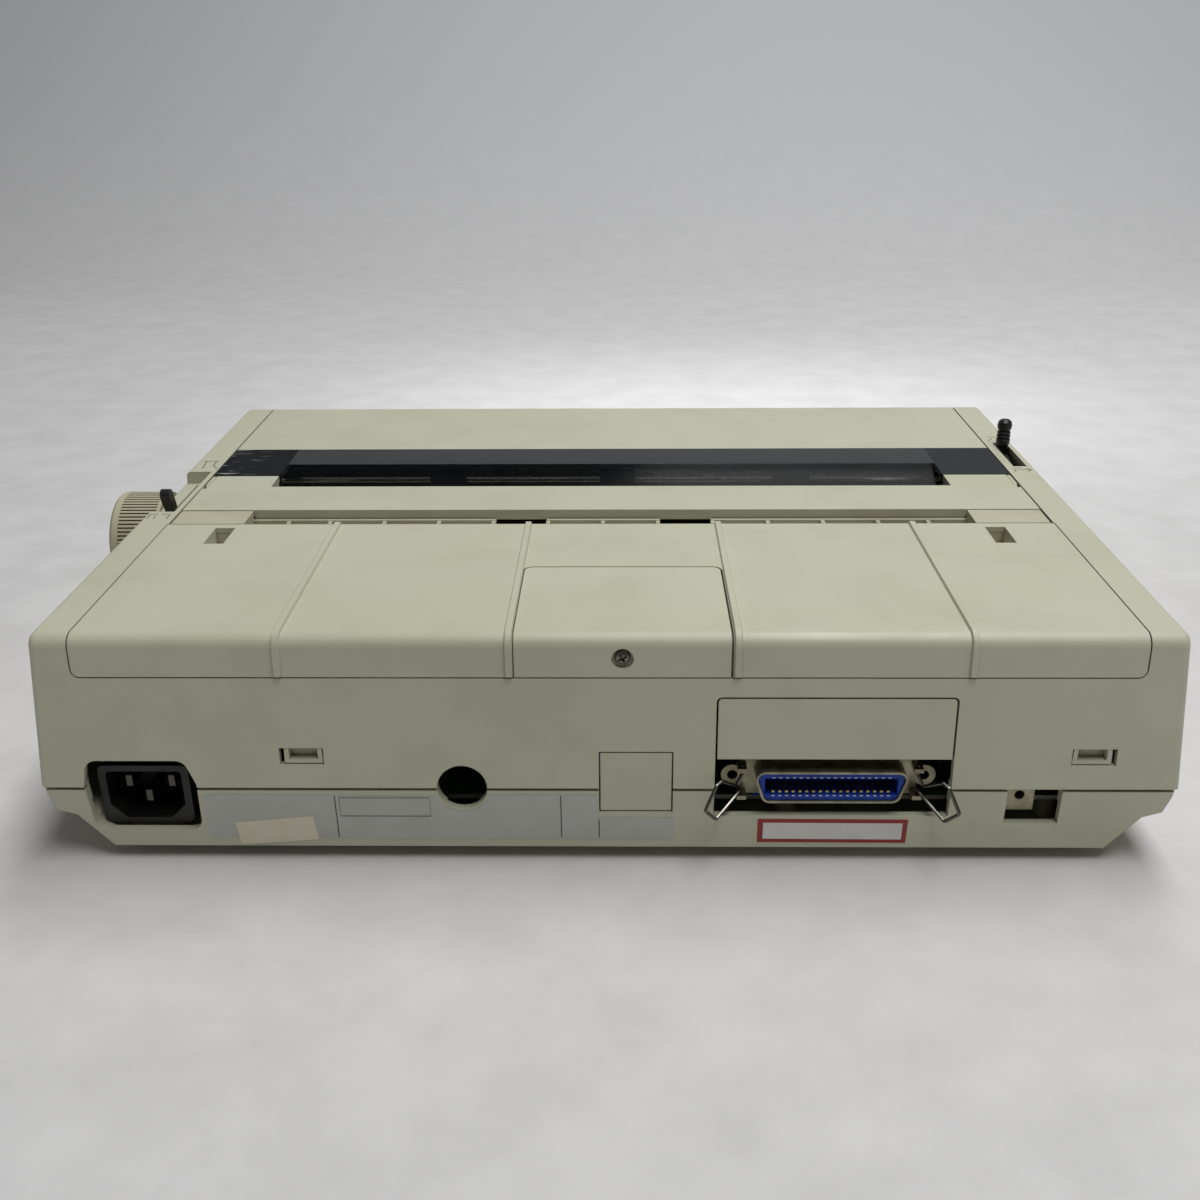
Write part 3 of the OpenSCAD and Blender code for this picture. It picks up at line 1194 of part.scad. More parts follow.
tray();
upper_case();
rear_panel();
option_cover();
connector_cover();
blank_plug();
paper_chute();
feet();
left_side_frame();
right_side_frame();
guide_shaft();
front_rail();
drive_belt();
carriage_motor();
belt_tensioner();
line_feed_motor();
main_board();
board_parts();
transformer();
mains_inlet();
inlet_pins();
connector_shell();
connector_insert();
connector_contacts();
ground_terminal();
case_screws();
cover_screw();
control_panel();
indicator_lamps();
panel_board();
switch_body();
access_cover();
visor();
cover_arms();
paper_cover();
platen_roller();
platen_shaft();
platen_knob();
platen_gear();
pin_wheels();
idler_gear();
motor_pinion();
release_lever();
pressure_frame();
pressure_rollers();
bail_frame();
bail_rollers();
bail_lever();
carriage();
print_head();
ribbon_cartridge();
ribbon_knob();
drive_pulley();
idler_pulley();
plug_lock_inner();
plug_lock_outer();
select_button();
line_feed_button();
form_feed_button();
power_rocker();
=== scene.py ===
"""Dot matrix printer: finishes, bare labels and small trim dressed over the CAD frame.

Metres, in the frame of the CAD: +X along the platen towards the knob, +Y to the back, Z up.
Sizes and places of the trim are in mm of the case's own drawing, which at() turns to the frame.
"""
import math

import bmesh
import bpy
from mathutils import Matrix, Vector


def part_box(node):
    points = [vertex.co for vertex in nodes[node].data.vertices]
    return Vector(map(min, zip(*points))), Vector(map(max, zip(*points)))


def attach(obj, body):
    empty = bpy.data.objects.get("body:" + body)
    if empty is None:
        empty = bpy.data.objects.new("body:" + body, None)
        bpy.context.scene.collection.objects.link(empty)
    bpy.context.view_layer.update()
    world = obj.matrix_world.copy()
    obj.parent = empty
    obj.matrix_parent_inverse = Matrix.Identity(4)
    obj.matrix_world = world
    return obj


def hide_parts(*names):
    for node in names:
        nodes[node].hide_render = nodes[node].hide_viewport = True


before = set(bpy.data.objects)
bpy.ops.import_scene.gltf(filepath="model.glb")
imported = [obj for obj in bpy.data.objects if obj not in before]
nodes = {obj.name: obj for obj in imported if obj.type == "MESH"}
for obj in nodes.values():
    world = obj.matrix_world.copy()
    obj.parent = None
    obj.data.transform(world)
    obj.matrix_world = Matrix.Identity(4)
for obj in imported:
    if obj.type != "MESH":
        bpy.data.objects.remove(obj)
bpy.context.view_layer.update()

MM = 0.001
# The case's drawing is centred on its upper half; the frame is centred on everything.
case_low, case_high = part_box("upper_case")
SHIFT = Vector(((case_low.x + case_high.x) / 2, (case_low.y + case_high.y) / 2, 0.0))
HALF_W = (case_high.x - case_low.x) / 2 / MM
HALF_D = (case_high.y - case_low.y) / 2 / MM
BODY_H = case_high.z / MM
# Where the case's halves meet, and how far its back leans in per mm above and below that line.
PART_Z = 28.0
UPPER_LEAN = 3.3 / 52.0
TRAY_LEAN = 1.5 / 23.0
# How far printed things lie off the case, so that the two surfaces don't fight.
LIFT = 0.02


def at(x, y, z):
    """A point of the case's drawing as a point of the frame."""
    return Vector((x, y, z)) * MM + SHIFT


def rear_y(z):
    """Where the back of the upper case is at a height."""
    return HALF_D - (z - PART_Z) * UPPER_LEAN


def tray_y(z):
    """Where the back of the tray is at a height."""
    return HALF_D - (PART_Z - z) * TRAY_LEAN


# Colours and nodes

# The Mix node's sockets share their names between its kinds, so they go by number.
FLOAT_A, FLOAT_B, COLOR_A, COLOR_B, COLOR_RESULT = 2, 3, 6, 7, 2


def srgb(code):
    """An sRGB hex colour as linear RGBA."""
    parts = [int(code[i:i + 2], 16) / 255.0 for i in (0, 2, 4)]
    return tuple(c / 12.92 if c <= 0.04045 else ((c + 0.055) / 1.055) ** 2.4 for c in parts) + (1.0,)


def add(tree, kind, links=(), inputs=(), **settings):
    """Adds a node with its properties, its inputs' values and its links (output, input)."""
    node = tree.nodes.new(kind)
    for key, value in settings.items():
        setattr(node, key, value)
    for key, value in dict(inputs).items():
        node.inputs[key].default_value = value
    for source, key in links:
        tree.links.new(source, node.inputs[key])
    return node


def material(name, color, rough, metallic=0.0, **sockets):
    """A material with its shader's own values set: itself, its tree, its shader and a point's place."""
    mat = bpy.data.materials.new(name)
    mat.use_nodes = True
    tree = mat.node_tree
    shader = tree.nodes["Principled BSDF"]
    values = {"Base Color": srgb(color), "Roughness": rough, "Metallic": metallic}
    values.update({key.replace("_", " "): value for key, value in sockets.items()})
    for key, value in values.items():
        shader.inputs[key].default_value = value
    mat.diffuse_color = srgb(color)
    return mat, tree, shader, add(tree, "ShaderNodeTexCoord").outputs["Object"]


def coats(tree, shader, base, *layers):
    """Gives a shader its colour: a base and the layers over it, each a factor and a colour.

    A colour is a hex code or a socket.
    """
    for factor, over in layers:
        mix = add(tree, "ShaderNodeMix", [(factor, "Factor")], data_type="RGBA")
        for key, value in ((COLOR_A, base), (COLOR_B, over)):
            if isinstance(value, str):
                mix.inputs[key].default_value = srgb(value)
            else:
                tree.links.new(value, mix.inputs[key])
        base = mix.outputs[COLOR_RESULT]
    tree.links.new(base, shader.inputs["Base Color"])


def blotches(tree, where, low, high, size_mm, detail=3.0):
    """Soft patches of the given size, as a factor from low to high."""
    noise = add(tree, "ShaderNodeTexNoise", [(where, "Vector")],
                {"Scale": 1000.0 / size_mm, "Detail": detail, "Roughness": 0.55})
    return add(tree, "ShaderNodeMapRange", [(noise.outputs["Fac"], "Value")],
               {"From Min": 0.35, "From Max": 0.65, "To Min": low, "To Max": high}).outputs["Result"]


def specks(tree, where, spacing_mm, radius_mm, share):
    """Round dirt specks on a share of a scattered grid, as a factor of 0 or 1."""
    cells = add(tree, "ShaderNodeTexVoronoi", [(where, "Vector")],
                {"Scale": 1000.0 / spacing_mm, "Randomness": 1.0})
    near = add(tree, "ShaderNodeMath", [(cells.outputs["Distance"], 0)],
               {1: radius_mm / spacing_mm}, operation="LESS_THAN")
    pick = add(tree, "ShaderNodeSeparateColor", [(cells.outputs["Color"], "Color")])
    some = add(tree, "ShaderNodeMath", [(pick.outputs["Red"], 0)], {1: share}, operation="LESS_THAN")
    return add(tree, "ShaderNodeMath", [(near.outputs[0], 0), (some.outputs[0], 1)],
               operation="MULTIPLY").outputs[0]


def grain(tree, shader, where, size_mm, height_mm, strength, detail=2.0):
    """A fine surface texture of that size and height; gives back its Bump node."""
    noise = add(tree, "ShaderNodeTexNoise", [(where, "Vector")],
                {"Scale": 1000.0 / size_mm, "Detail": detail, "Roughness": 0.6})
    bump = add(tree, "ShaderNodeBump", [(noise.outputs["Fac"], "Height")],
               {"Strength": strength, "Distance": height_mm * MM})
    tree.links.new(bump.outputs["Normal"], shader.inputs["Normal"])
    return bump


def hollow_shade(tree, reach_mm, most):
    """Painted shade for seams and corners: how deep in one a point lies, as a factor from 0 in the open to
    most.
    """
    shade = add(tree, "ShaderNodeAmbientOcclusion", inputs={"Distance": reach_mm * MM}, samples=4)
    return add(tree, "ShaderNodeMapRange", [(shade.outputs["AO"], "Value")],
               {"From Min": 0.55, "From Max": 0.15, "To Min": 0.0, "To Max": most}).outputs["Result"]


# Finishes

def case_abs(name, fresh, aged, grime, rough=0.42, dirty=0.12, reach=1.6, seam_dust_and_shade=0.75):
    """ABS from a spark-eroded mould: a dull even gloss, yellowing a little, brown dust and painted shade in
    its seams.

    The real texture is about 0.1 mm; it is drawn at 0.8 mm so that it shows.
    """
    mat, tree, shader, where = material(name, fresh, rough, IOR=1.53)
    smudge = add(tree, "ShaderNodeMath", [(blotches(tree, where, -0.9, 1.0, 30.0, 5.0), 0)],
                 {1: dirty}, operation="MULTIPLY", use_clamp=True)
    # The last coat darkens seams and corners brown by ambient occlusion: dust and painted shade.
    coats(tree, shader, fresh,
          (blotches(tree, where, 0.0, 1.0, 90.0), aged),
          (smudge.outputs[0], grime),
          (specks(tree, where, 26.0, 0.3, 0.25), "6d6654"),
          (specks(tree, where, 61.0, 0.7, 0.16), "6a5f49"),
          (hollow_shade(tree, reach, seam_dust_and_shade), "4d3f2a"))
    tree.links.new(blotches(tree, where, rough - 0.05, rough + 0.08, 18.0, 4.0), shader.inputs["Roughness"])
    bump = grain(tree, shader, where, 0.8, 0.03, 0.35)
    # Light caught along moulded edges, as if they were rounded to 0.45 mm.
    edge = add(tree, "ShaderNodeBevel", inputs={"Radius": 0.45 * MM}, samples=4)
    tree.links.new(edge.outputs["Normal"], bump.inputs["Normal"])
    return mat


def smoked_sheet(name):
    """Smoked acrylic: near black and polished, clear enough over its slope to show the bail behind it.

    Its ends are textured opaque; the left one is painted darker as painted shade, and carries light scuffs.
    """
    ends_from = 137.4 * MM
    scuffed_from, scuffed_to = 147.0 * MM, 158.0 * MM
    slope_from, slope_to = at(0.0, -37.0, 0.0).y, at(0.0, -36.2, 0.0).y
    mat, tree, shader, where = material(name, "25282b", 0.16, IOR=1.49, Specular_IOR_Level=0.2)
    axes = add(tree, "ShaderNodeSeparateXYZ", [(where, "Vector")])
    across = add(tree, "ShaderNodeMath", [(axes.outputs["X"], 0)], {1: SHIFT.x}, operation="SUBTRACT")
    side = add(tree, "ShaderNodeMath", [(across.outputs[0], 0)], operation="ABSOLUTE")
    ends = add(tree, "ShaderNodeMath", [(side.outputs[0], 0)], {1: ends_from}, operation="GREATER_THAN")
    shaded_left_end = add(tree, "ShaderNodeMath", [(across.outputs[0], 0)], {1: ends_from},
                   operation="GREATER_THAN")

    drawn_out = add(tree, "ShaderNodeMapping", [(where, "Vector")], {"Scale": (0.25, 1.0, 1.0)})
    polish = blotches(tree, drawn_out.outputs["Vector"], 0.1, 0.26, 14.0, 6.0)
    gloss = add(tree, "ShaderNodeMix", [(ends.outputs[0], "Factor"), (polish, FLOAT_A)], {FLOAT_B: 0.807})
    tree.links.new(gloss.outputs[0], shader.inputs["Roughness"])

    scratched = add(tree, "ShaderNodeMapping", [(where, "Vector")],
                    {"Rotation": (0.0, 0.0, 0.7), "Scale": (0.12, 1.0, 1.0)})
    scratches = blotches(tree, scratched.outputs["Vector"], -4.0, 1.0, 1.6, 2.0)
    worn = add(tree, "ShaderNodeMapRange", [(across.outputs[0], "Value")],
               {"From Min": scuffed_from, "From Max": scuffed_to, "To Min": 0.0, "To Max": 0.5})
    scuff = add(tree, "ShaderNodeMath", [(scratches, 0), (worn.outputs[0], 1)],
                operation="MULTIPLY", use_clamp=True)
    # The left end's darker colour is painted shade.
    coats(tree, shader, "1a1f24", (ends.outputs[0], "303337"), (shaded_left_end.outputs[0], "14161a"),
          (scuff.outputs[0], "b9bab8"))

    slope = add(tree, "ShaderNodeMapRange", [(axes.outputs["Y"], "Value")],
                {"From Min": slope_from, "From Max": slope_to, "To Min": 0.95, "To Max": 0.14})
    dense = add(tree, "ShaderNodeMath", [(slope.outputs[0], 0), (ends.outputs[0], 1)], operation="MAXIMUM")
    tree.links.new(dense.outputs[0], shader.inputs["Alpha"])
    return mat


def black_plastic(name, color="131313", rough=0.42):
    """Moulded black thermoplastic, satin, with faint dust in its texture."""
    mat, tree, shader, where = material(name, color, rough, IOR=1.5)
    coats(tree, shader, color, (blotches(tree, where, 0.0, 0.35, 9.0, 4.0), "2a2927"))
    tree.links.new(blotches(tree, where, rough - 0.08, rough + 0.12, 6.0), shader.inputs["Roughness"])
    grain(tree, shader, where, 0.8, 0.02, 0.3)
    return mat


def ground_rubber(name):
    """Nitrile rubber ground to size: black going grey, matt, with a fine nap."""
    mat, tree, shader, where = material(name, "232322", 0.78, IOR=1.5)
    round_it = add(tree, "ShaderNodeMapping", [(where, "Vector")], {"Scale": (1.0, 0.2, 0.2)})
    coats(tree, shader, "1c1c1b", (blotches(tree, round_it.outputs["Vector"], 0.0, 1.0, 7.0, 4.0), "343331"))
    grain(tree, shader, where, 0.7, 0.03, 0.5, 3.0)
    return mat


def zinc_sheet(name):
    """Zinc-plated pressed steel: bluish white with cloudy patches and faint rolling lines."""
    mat, tree, shader, where = material(name, "b9bab6", 0.36, 1.0)
    rolled = add(tree, "ShaderNodeMapping", [(where, "Vector")], {"Scale": (1.0, 0.08, 1.0)})
    coats(tree, shader, "bdbdb8", (blotches(tree, where, 0.0, 1.0, 16.0, 5.0), "96948a"))
    tree.links.new(blotches(tree, rolled.outputs["Vector"], 0.28, 0.5, 1.5, 3.0), shader.inputs["Roughness"])
    grain(tree, shader, rolled.outputs["Vector"], 0.6, 0.01, 0.3)
    return mat


def bright_steel(name, color="cfcdc8"):
    """Ground and nickel-plated metal: bright, with fine marks round its length."""
    mat, tree, shader, where = material(name, color, 0.2, 1.0)
    tree.links.new(blotches(tree, where, 0.14, 0.3, 3.0, 4.0), shader.inputs["Roughness"])
    grain(tree, shader, where, 0.5, 0.006, 0.25)
    return mat


def motor_can(name):
    """Drawn motor can, passivated: greyer and duller than the plated parts."""
    mat, tree, shader, where = material(name, "a5a49d", 0.4, 1.0)
    coats(tree, shader, "aaa9a3", (blotches(tree, where, 0.0, 1.0, 8.0, 4.0), "84817a"))
    grain(tree, shader, where, 0.8, 0.01, 0.3)
    return mat


def black_anodised(name):
    """Die-cast aluminium anodised black, as on a print head that has to shed heat."""
    mat, tree, shader, where = material(name, "26272a", 0.46, 0.7)
    coats(tree, shader, "222326", (blotches(tree, where, 0.0, 1.0, 5.0, 4.0), "3b3c3e"))
    grain(tree, shader, where, 0.6, 0.02, 0.4, 3.0)
    return mat


def acetal(name, color="d8d2bd"):
    """Natural acetal: waxy off-white, a little light passing through it."""
    mat, tree, shader, where = material(name, color, 0.38, IOR=1.48, Subsurface_Weight=0.12,
                                        Subsurface_Radius=(2.0 * MM, 1.6 * MM, 1.0 * MM))
    coats(tree, shader, color, (blotches(tree, where, 0.0, 0.6, 12.0), "c2b793"))
    grain(tree, shader, where, 0.9, 0.01, 0.25)
    return mat


def solder_resist(name):
    """Green solder resist over copper tracks on glass laminate: glossy, lighter tracks, bare sawn edges."""
    mat, tree, shader, where = material(name, "0f3a22", 0.35, IOR=1.55, Coat_Weight=0.3)
    tracks = add(tree, "ShaderNodeTexBrick", [(where, "Vector")],
                 {"Scale": 1.0, "Mortar Size": 0.6 * MM, "Brick Width": 19.0 * MM, "Row Height": 3.2 * MM,
                  "Color1": srgb("0f3a22"), "Color2": srgb("124026"), "Mortar": srgb("27663e")},
                 offset=0.37, squash=0.6, squash_frequency=3)
    facing = add(tree, "ShaderNodeNewGeometry").outputs["True Normal"]
    axes = add(tree, "ShaderNodeSeparateXYZ", [(facing, "Vector")])
    level = add(tree, "ShaderNodeMath", [(axes.outputs["Z"], 0)], operation="ABSOLUTE")
    sawn = add(tree, "ShaderNodeMath", [(level.outputs[0], 0)], {1: 0.5}, operation="LESS_THAN")
    coats(tree, shader, tracks.outputs["Color"], (sawn.outputs[0], "8d8d80"))
    grain(tree, shader, where, 1.2, 0.01, 0.3)
    return mat


def blue_insulator(name):
    """Glass-filled polyester, moulded deep blue: slightly waxy gloss, with painted shade near black in its
    pocket.
    """
    mat, tree, shader, where = material(name, "0f3fa6", 0.4, IOR=1.57, Specular_IOR_Level=0.25)
    coats(tree, shader, "0f42ad", (blotches(tree, where, 0.0, 1.0, 6.0, 4.0), "0d3690"),
          (hollow_shade(tree, 5.0, 1.0), "060912"))
    grain(tree, shader, where, 0.6, 0.015, 0.3)
    return mat


def dull_tin(name):
    """Tin-plated steel gone dull and a little yellow, with dust and painted shade in its corners."""
    mat, tree, shader, where = material(name, "a19c84", 0.4, 0.85)
    coats(tree, shader, "aaa58c", (blotches(tree, where, 0.0, 1.0, 5.0, 4.0), "85806a"),
          (hollow_shade(tree, 1.2, 0.8), "2f2819"))
    grain(tree, shader, where, 0.6, 0.01, 0.3)
    return mat


def gold_plate(name):
    """Thin gold over nickel on phosphor bronze contacts: pale, dulled in patches."""
    mat, tree, shader, where = material(name, "c9ae74", 0.3, 1.0)
    coats(tree, shader, "c9ae74", (blotches(tree, where, 0.0, 1.0, 2.0), "a58a55"))
    return mat


def screw_steel(name):
    """Steel screw, zinc and black chromate: dark grey, with painted shade, brown, in its recess."""
    mat, tree, shader, where = material(name, "6f6c62", 0.38, 0.9)
    coats(tree, shader, "7b7870", (blotches(tree, where, 0.0, 1.0, 1.6, 4.0), "5a5548"),
          (hollow_shade(tree, 0.8, 0.9), "241d13"))
    grain(tree, shader, where, 0.4, 0.01, 0.4)
    return mat


def lamp_lens(name):
    """Green tinted lamp, unlit: clear resin over its die."""
    mat, tree, shader, where = material(name, "3f8f49", 0.12, IOR=1.5, Transmission_Weight=0.35)
    coats(tree, shader, "3f8f49", (blotches(tree, where, 0.0, 1.0, 1.5), "5fae63"))
    return mat


def printed_film(name, color, tint, rough=0.5, metallic=0.0):
    """Label stock or ink: slightly uneven, handled, with a soft sheen."""
    mat, tree, shader, where = material(name, color, rough, metallic, IOR=1.45)
    coats(tree, shader, color, (blotches(tree, where, 0.0, 0.7, 11.0, 5.0), tint))
    grain(tree, shader, where, 1.4, 0.01, 0.25, 3.0)
    return mat


def studio_paper(name):
    """Seamless background paper, matt: white near the object, with a colder grey painted shade towards the
    wall.
    """
    shade_from, shade_to = -0.6, -1.4
    mat, tree, shader, where = material(name, "d6d6d7", 0.9)
    axes = add(tree, "ShaderNodeSeparateXYZ", [(where, "Vector")])
    far_shade = add(tree, "ShaderNodeMapRange", [(axes.outputs["Y"], "Value")],
              {"From Min": shade_from, "From Max": shade_to, "To Min": 0.0, "To Max": 1.0})
    coats(tree, shader, "dcdbdb", (blotches(tree, where, 0.0, 1.0, 30.0, 6.0), "d3d2d2"),
          (far_shade.outputs[0], "cccdcf"))
    return mat


# Each case moulding gets painted shade, with dust, in its seams and corners; on the knob it reaches into the
# ribs.
CASE = case_abs("Housing ABS, moulded, yellowed", "c4c4ad", "c1c0a7", "a39a7c")
# The slot between the covers is rougher to the eye and painted darker than the case, with painted shade and
# dust reaching a long way out of its corners.
SLOT = case_abs("Slot ABS, moulded, dusty, painted shade", "bdbba3", "b7b398", "8f8464", 0.56, 0.3, 6.0, 0.9)
# Walls and floors inside recesses: the case's ABS painted darker as painted shade, with more dust and shade
# in their corners.
LINING = case_abs("Lining ABS, moulded, painted shade", "b9b59c", "b0ab90", "8f8464", 0.5, 0.4, 3.0, 0.7)
KNOB = case_abs("Knob ABS, moulded", "c0bca2", "b9b496", "8d8467", 0.5, 0.25, 2.6, 0.95)
SMOKE = smoked_sheet("Visor acrylic, smoked")
SATIN_BLACK = black_plastic("Fittings ABS, satin black")
PANEL_GREY = black_plastic("Panel ABS, dark grey", "2b2c2d", 0.48)
RUBBER = ground_rubber("Platen rubber, ground")
ZINC = zinc_sheet("Frame steel, zinc plated")
BRIGHT = bright_steel("Shaft steel, nickel plated")
CAN = motor_can("Motor steel, drawn")
HEAD = black_anodised("Head aluminium, anodised black")
ACETAL = acetal("Gear acetal, natural")
BOARD = solder_resist("Board laminate, green resist")
BLUE = blue_insulator("Socket polyester, blue")
GOLD = gold_plate("Contact bronze, gold plated")
TIN = dull_tin("Socket steel, tin plated, dulled")
WIRE = bright_steel("Latch wire, spring steel, plated", "6f6d67")
PIN = bright_steel("Pin brass, nickel plated", "5a5852")
LAMP = lamp_lens("Lamp resin, green")
SILVER_FILM = printed_film("Rating plate, silver polyester film", "babcb5", "b0b2a9", 0.38, 0.3)
# White label stock, also used for the contacts' painted glints.
WHITE_FILM_AND_GLINTS = printed_film("Label, white vinyl, also painted glints", "dededb", "d0d0c9")
RED_INK = printed_film("Label border, red ink", "9c3326", "8c2d22")
CREAM_PAPER = printed_film("Sticker, cream paper", "e2dcc6", "d8cfb2", 0.62)
INK = printed_film("Ruling ink, dark grey", "3b3b3a", "4a4a47")
MOULDED_SIGN = printed_film("Signs pressed into the rails, drawn dark", "857f6a", "6f6852", 0.6)
SCREW = screw_steel("Screw steel, blackened zinc")

FINISH = {
    CASE: ("tray", "upper_case", "rear_panel", "option_cover", "connector_cover", "blank_plug",
           "access_cover", "paper_cover", "cover_arms"),
    SLOT: ("paper_chute",),
    KNOB: ("platen_knob",),
    SMOKE: ("visor",),
    PANEL_GREY: ("control_panel", "ribbon_cartridge"),
    SATIN_BLACK: ("switch_body", "power_rocker", "mains_inlet", "release_lever", "bail_lever",
                  "pin_wheels", "carriage", "board_parts"),
    RUBBER: ("feet", "platen_roller", "pressure_rollers", "bail_rollers", "drive_belt"),
    ZINC: ("left_side_frame", "right_side_frame", "front_rail", "belt_tensioner", "pressure_frame",
           "transformer"),
    TIN: ("connector_shell", "ground_terminal"),
    BRIGHT: ("guide_shaft", "platen_shaft", "bail_frame", "case_screws", "cover_screw", "motor_pinion"),
    PIN: ("inlet_pins",),
    WIRE: ("plug_lock_inner", "plug_lock_outer"),
    CAN: ("carriage_motor", "line_feed_motor"),
    HEAD: ("print_head",),
    ACETAL: ("platen_gear", "idler_gear", "drive_pulley", "idler_pulley", "ribbon_knob",
             "select_button", "line_feed_button", "form_feed_button"),
    BOARD: ("main_board", "panel_board"),
    BLUE: ("connector_insert",),
    GOLD: ("connector_contacts",),
    LAMP: ("indicator_lamps",),
}


def paint(obj, mat):
    """Gives a piece one material and no other."""
    obj.data.materials.clear()
    obj.data.materials.append(mat)


for finish, names in FINISH.items():
    for name in names:
        paint(nodes[name], finish)


# Pieces and what repeats; all the trim is fixed to the case, whose body is root

def mesh_from(name, shape):
    """Ends a bmesh as a mesh with its faces outwards."""
    bmesh.ops.recalc_face_normals(shape, faces=shape.faces)
    mesh = bpy.data.meshes.new(name)
    shape.to_mesh(mesh)
    shape.free()
    return mesh


def linked(name, data):
    """An object in the scene with that mesh, light or camera."""
    obj = bpy.data.objects.new(name, data)
    bpy.context.collection.objects.link(obj)
    return obj


def settle(obj):
    """Turns a piece and its modifiers into a plain mesh."""
    bpy.context.view_layer.update()
    graph = bpy.context.evaluated_depsgraph_get()
    obj.data = bpy.data.meshes.new_from_object(obj.evaluated_get(graph), depsgraph=graph)
    obj.modifiers.clear()


def node_tree(name, *sockets):
    """A geometry tree with a shape going in and out and the named inputs, and its two end nodes."""
    tree = bpy.data.node_groups.new(name, "GeometryNodeTree")
    tree.interface.new_socket("Shape", in_out="INPUT", socket_type="NodeSocketGeometry")
    for label, kind in sockets:
        tree.interface.new_socket(label, in_out="INPUT", socket_type=kind)
    tree.interface.new_socket("Shape", in_out="OUTPUT", socket_type="NodeSocketGeometry")
    return tree, add(tree, "NodeGroupInput"), add(tree, "NodeGroupOutput")


def finished(tree, start, end, shape):
    """Ends a tree: plain mesh, painted."""
    real = add(tree, "GeometryNodeRealizeInstances", [(shape, "Geometry")])
    painted = add(tree, "GeometryNodeSetMaterial",
                  [(real.outputs[0], "Geometry"), (start.outputs["Finish"], "Material")])
    tree.links.new(painted.outputs[0], end.inputs[0])
    return tree


def rows_of_pieces():
    """One piece set at each point, turned and sized by the point's own values."""
    tree, start, end = node_tree("rows of pieces", ("Piece", "NodeSocketObject"),
                                 ("Finish", "NodeSocketMaterial"))
    piece = add(tree, "GeometryNodeObjectInfo", [(start.outputs["Piece"], "Object")], {"As Instance": True})
    turn, size = (add(tree, "GeometryNodeInputNamedAttribute", inputs={"Name": label},
                      data_type="FLOAT_VECTOR") for label in ("turn", "size"))
    spin = add(tree, "FunctionNodeEulerToRotation", [(turn.outputs[0], 0)])
    rows = add(tree, "GeometryNodeInstanceOnPoints", [
        (start.outputs["Shape"], "Points"), (piece.outputs["Geometry"], "Instance"),
        (spin.outputs[0], "Rotation"), (size.outputs[0], "Scale")])
    return finished(tree, start, end, rows.outputs[0])


def drawn_lines():
    """Lines given a width and a height: ruled ink and pressed signs."""
    tree, start, end = node_tree("drawn lines", ("Width", "NodeSocketFloat"), ("Height", "NodeSocketFloat"),
                                 ("Finish", "NodeSocketMaterial"))
    path = add(tree, "GeometryNodeMeshToCurve", [(start.outputs["Shape"], 0)])
    section = add(tree, "GeometryNodeCurvePrimitiveQuadrilateral",
                  [(start.outputs["Width"], "Width"), (start.outputs["Height"], "Height")])
    line = add(tree, "GeometryNodeCurveToMesh",
               [(path.outputs[0], "Curve"), (section.outputs[0], "Profile Curve")], {"Fill Caps": True})
    return finished(tree, start, end, line.outputs[0])


ROWS, LINES = rows_of_pieces(), drawn_lines()


def grown(name, seed, tree, **values):
    """Runs a tree on a seed mesh and keeps the result as a plain piece."""
    obj = linked(name, seed)
    live = obj.modifiers.new("grown", "NODES")
    live.node_group = tree
    for socket in tree.interface.items_tree:
        if socket.in_out == "INPUT" and socket.name in values:
            live[socket.identifier] = values[socket.name]
    settle(obj)
    # The seed's own empty slot comes before the finish's.
    if obj.data.materials[0] is None:
        obj.data.materials.pop(index=0)
    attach(obj, "root")
    return obj


def row_of(name, piece, spots, finish):
    """Copies of a piece, each at a point of the case's drawing, turned by degrees and sized."""
    seed = bpy.data.meshes.new(name)
    seed.from_pydata([at(*point) for point, turns, size in spots], [], [])
    radians = [[math.radians(a) for a in turns] for point, turns, size in spots]
    scales = [[size] * 3 for point, turns, size in spots]
    for label, rows in (("turn", radians), ("size", scales)):
        values = seed.attributes.new(label, "FLOAT_VECTOR", "POINT")
        for k, row in enumerate(rows):
            values.data[k].vector = row
    return grown(name, seed, ROWS, Piece=piece, Finish=finish)


def repeated(name, piece, points, finish):
    """Unturned copies of a piece at points of the case's drawing; the piece itself goes."""
    row_of(name, piece, [(point, (0, 0, 0), 1.0) for point in points], finish)
    bpy.data.objects.remove(piece)


def lines_of(name, paths, width, height, finish):
    """Lines of a width and height through points of the frame."""
    seed = bpy.data.meshes.new(name)
    points, edges = [], []
    for path in paths:
        edges += [(len(points) + k, len(points) + k + 1) for k in range(len(path) - 1)]
        points += path
    seed.from_pydata(points, edges, [])
    return grown(name, seed, LINES, Width=width * MM, Height=height * MM, Finish=finish)


def cut_shape(name, outline, place, thick):
    """A shape cut to an outline and that thick: place(across, up, out) gives its points."""
    shape = bmesh.new()
    low, top = ([shape.verts.new(place(x, z, out)) for x, z in outline] for out in (0.0, thick))
    shape.faces.new(low)
    shape.faces.new(top)
    for k in range(len(outline)):
        j = (k + 1) % len(outline)
        shape.faces.new((low[k], low[j], top[j], top[k]))
    # A hollow outline is only cut up rightly when its faces know their normals.
    shape.normal_update()
    bmesh.ops.triangulate(shape, faces=shape.faces)
    return linked(name, mesh_from(name, shape))


def laid_sheet(name, outline, place, thick, finish):
    """A thin sheet laid on the case, as a piece."""
    obj = cut_shape(name, outline, place, thick)
    paint(obj, finish)
    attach(obj, "root")


# Screws

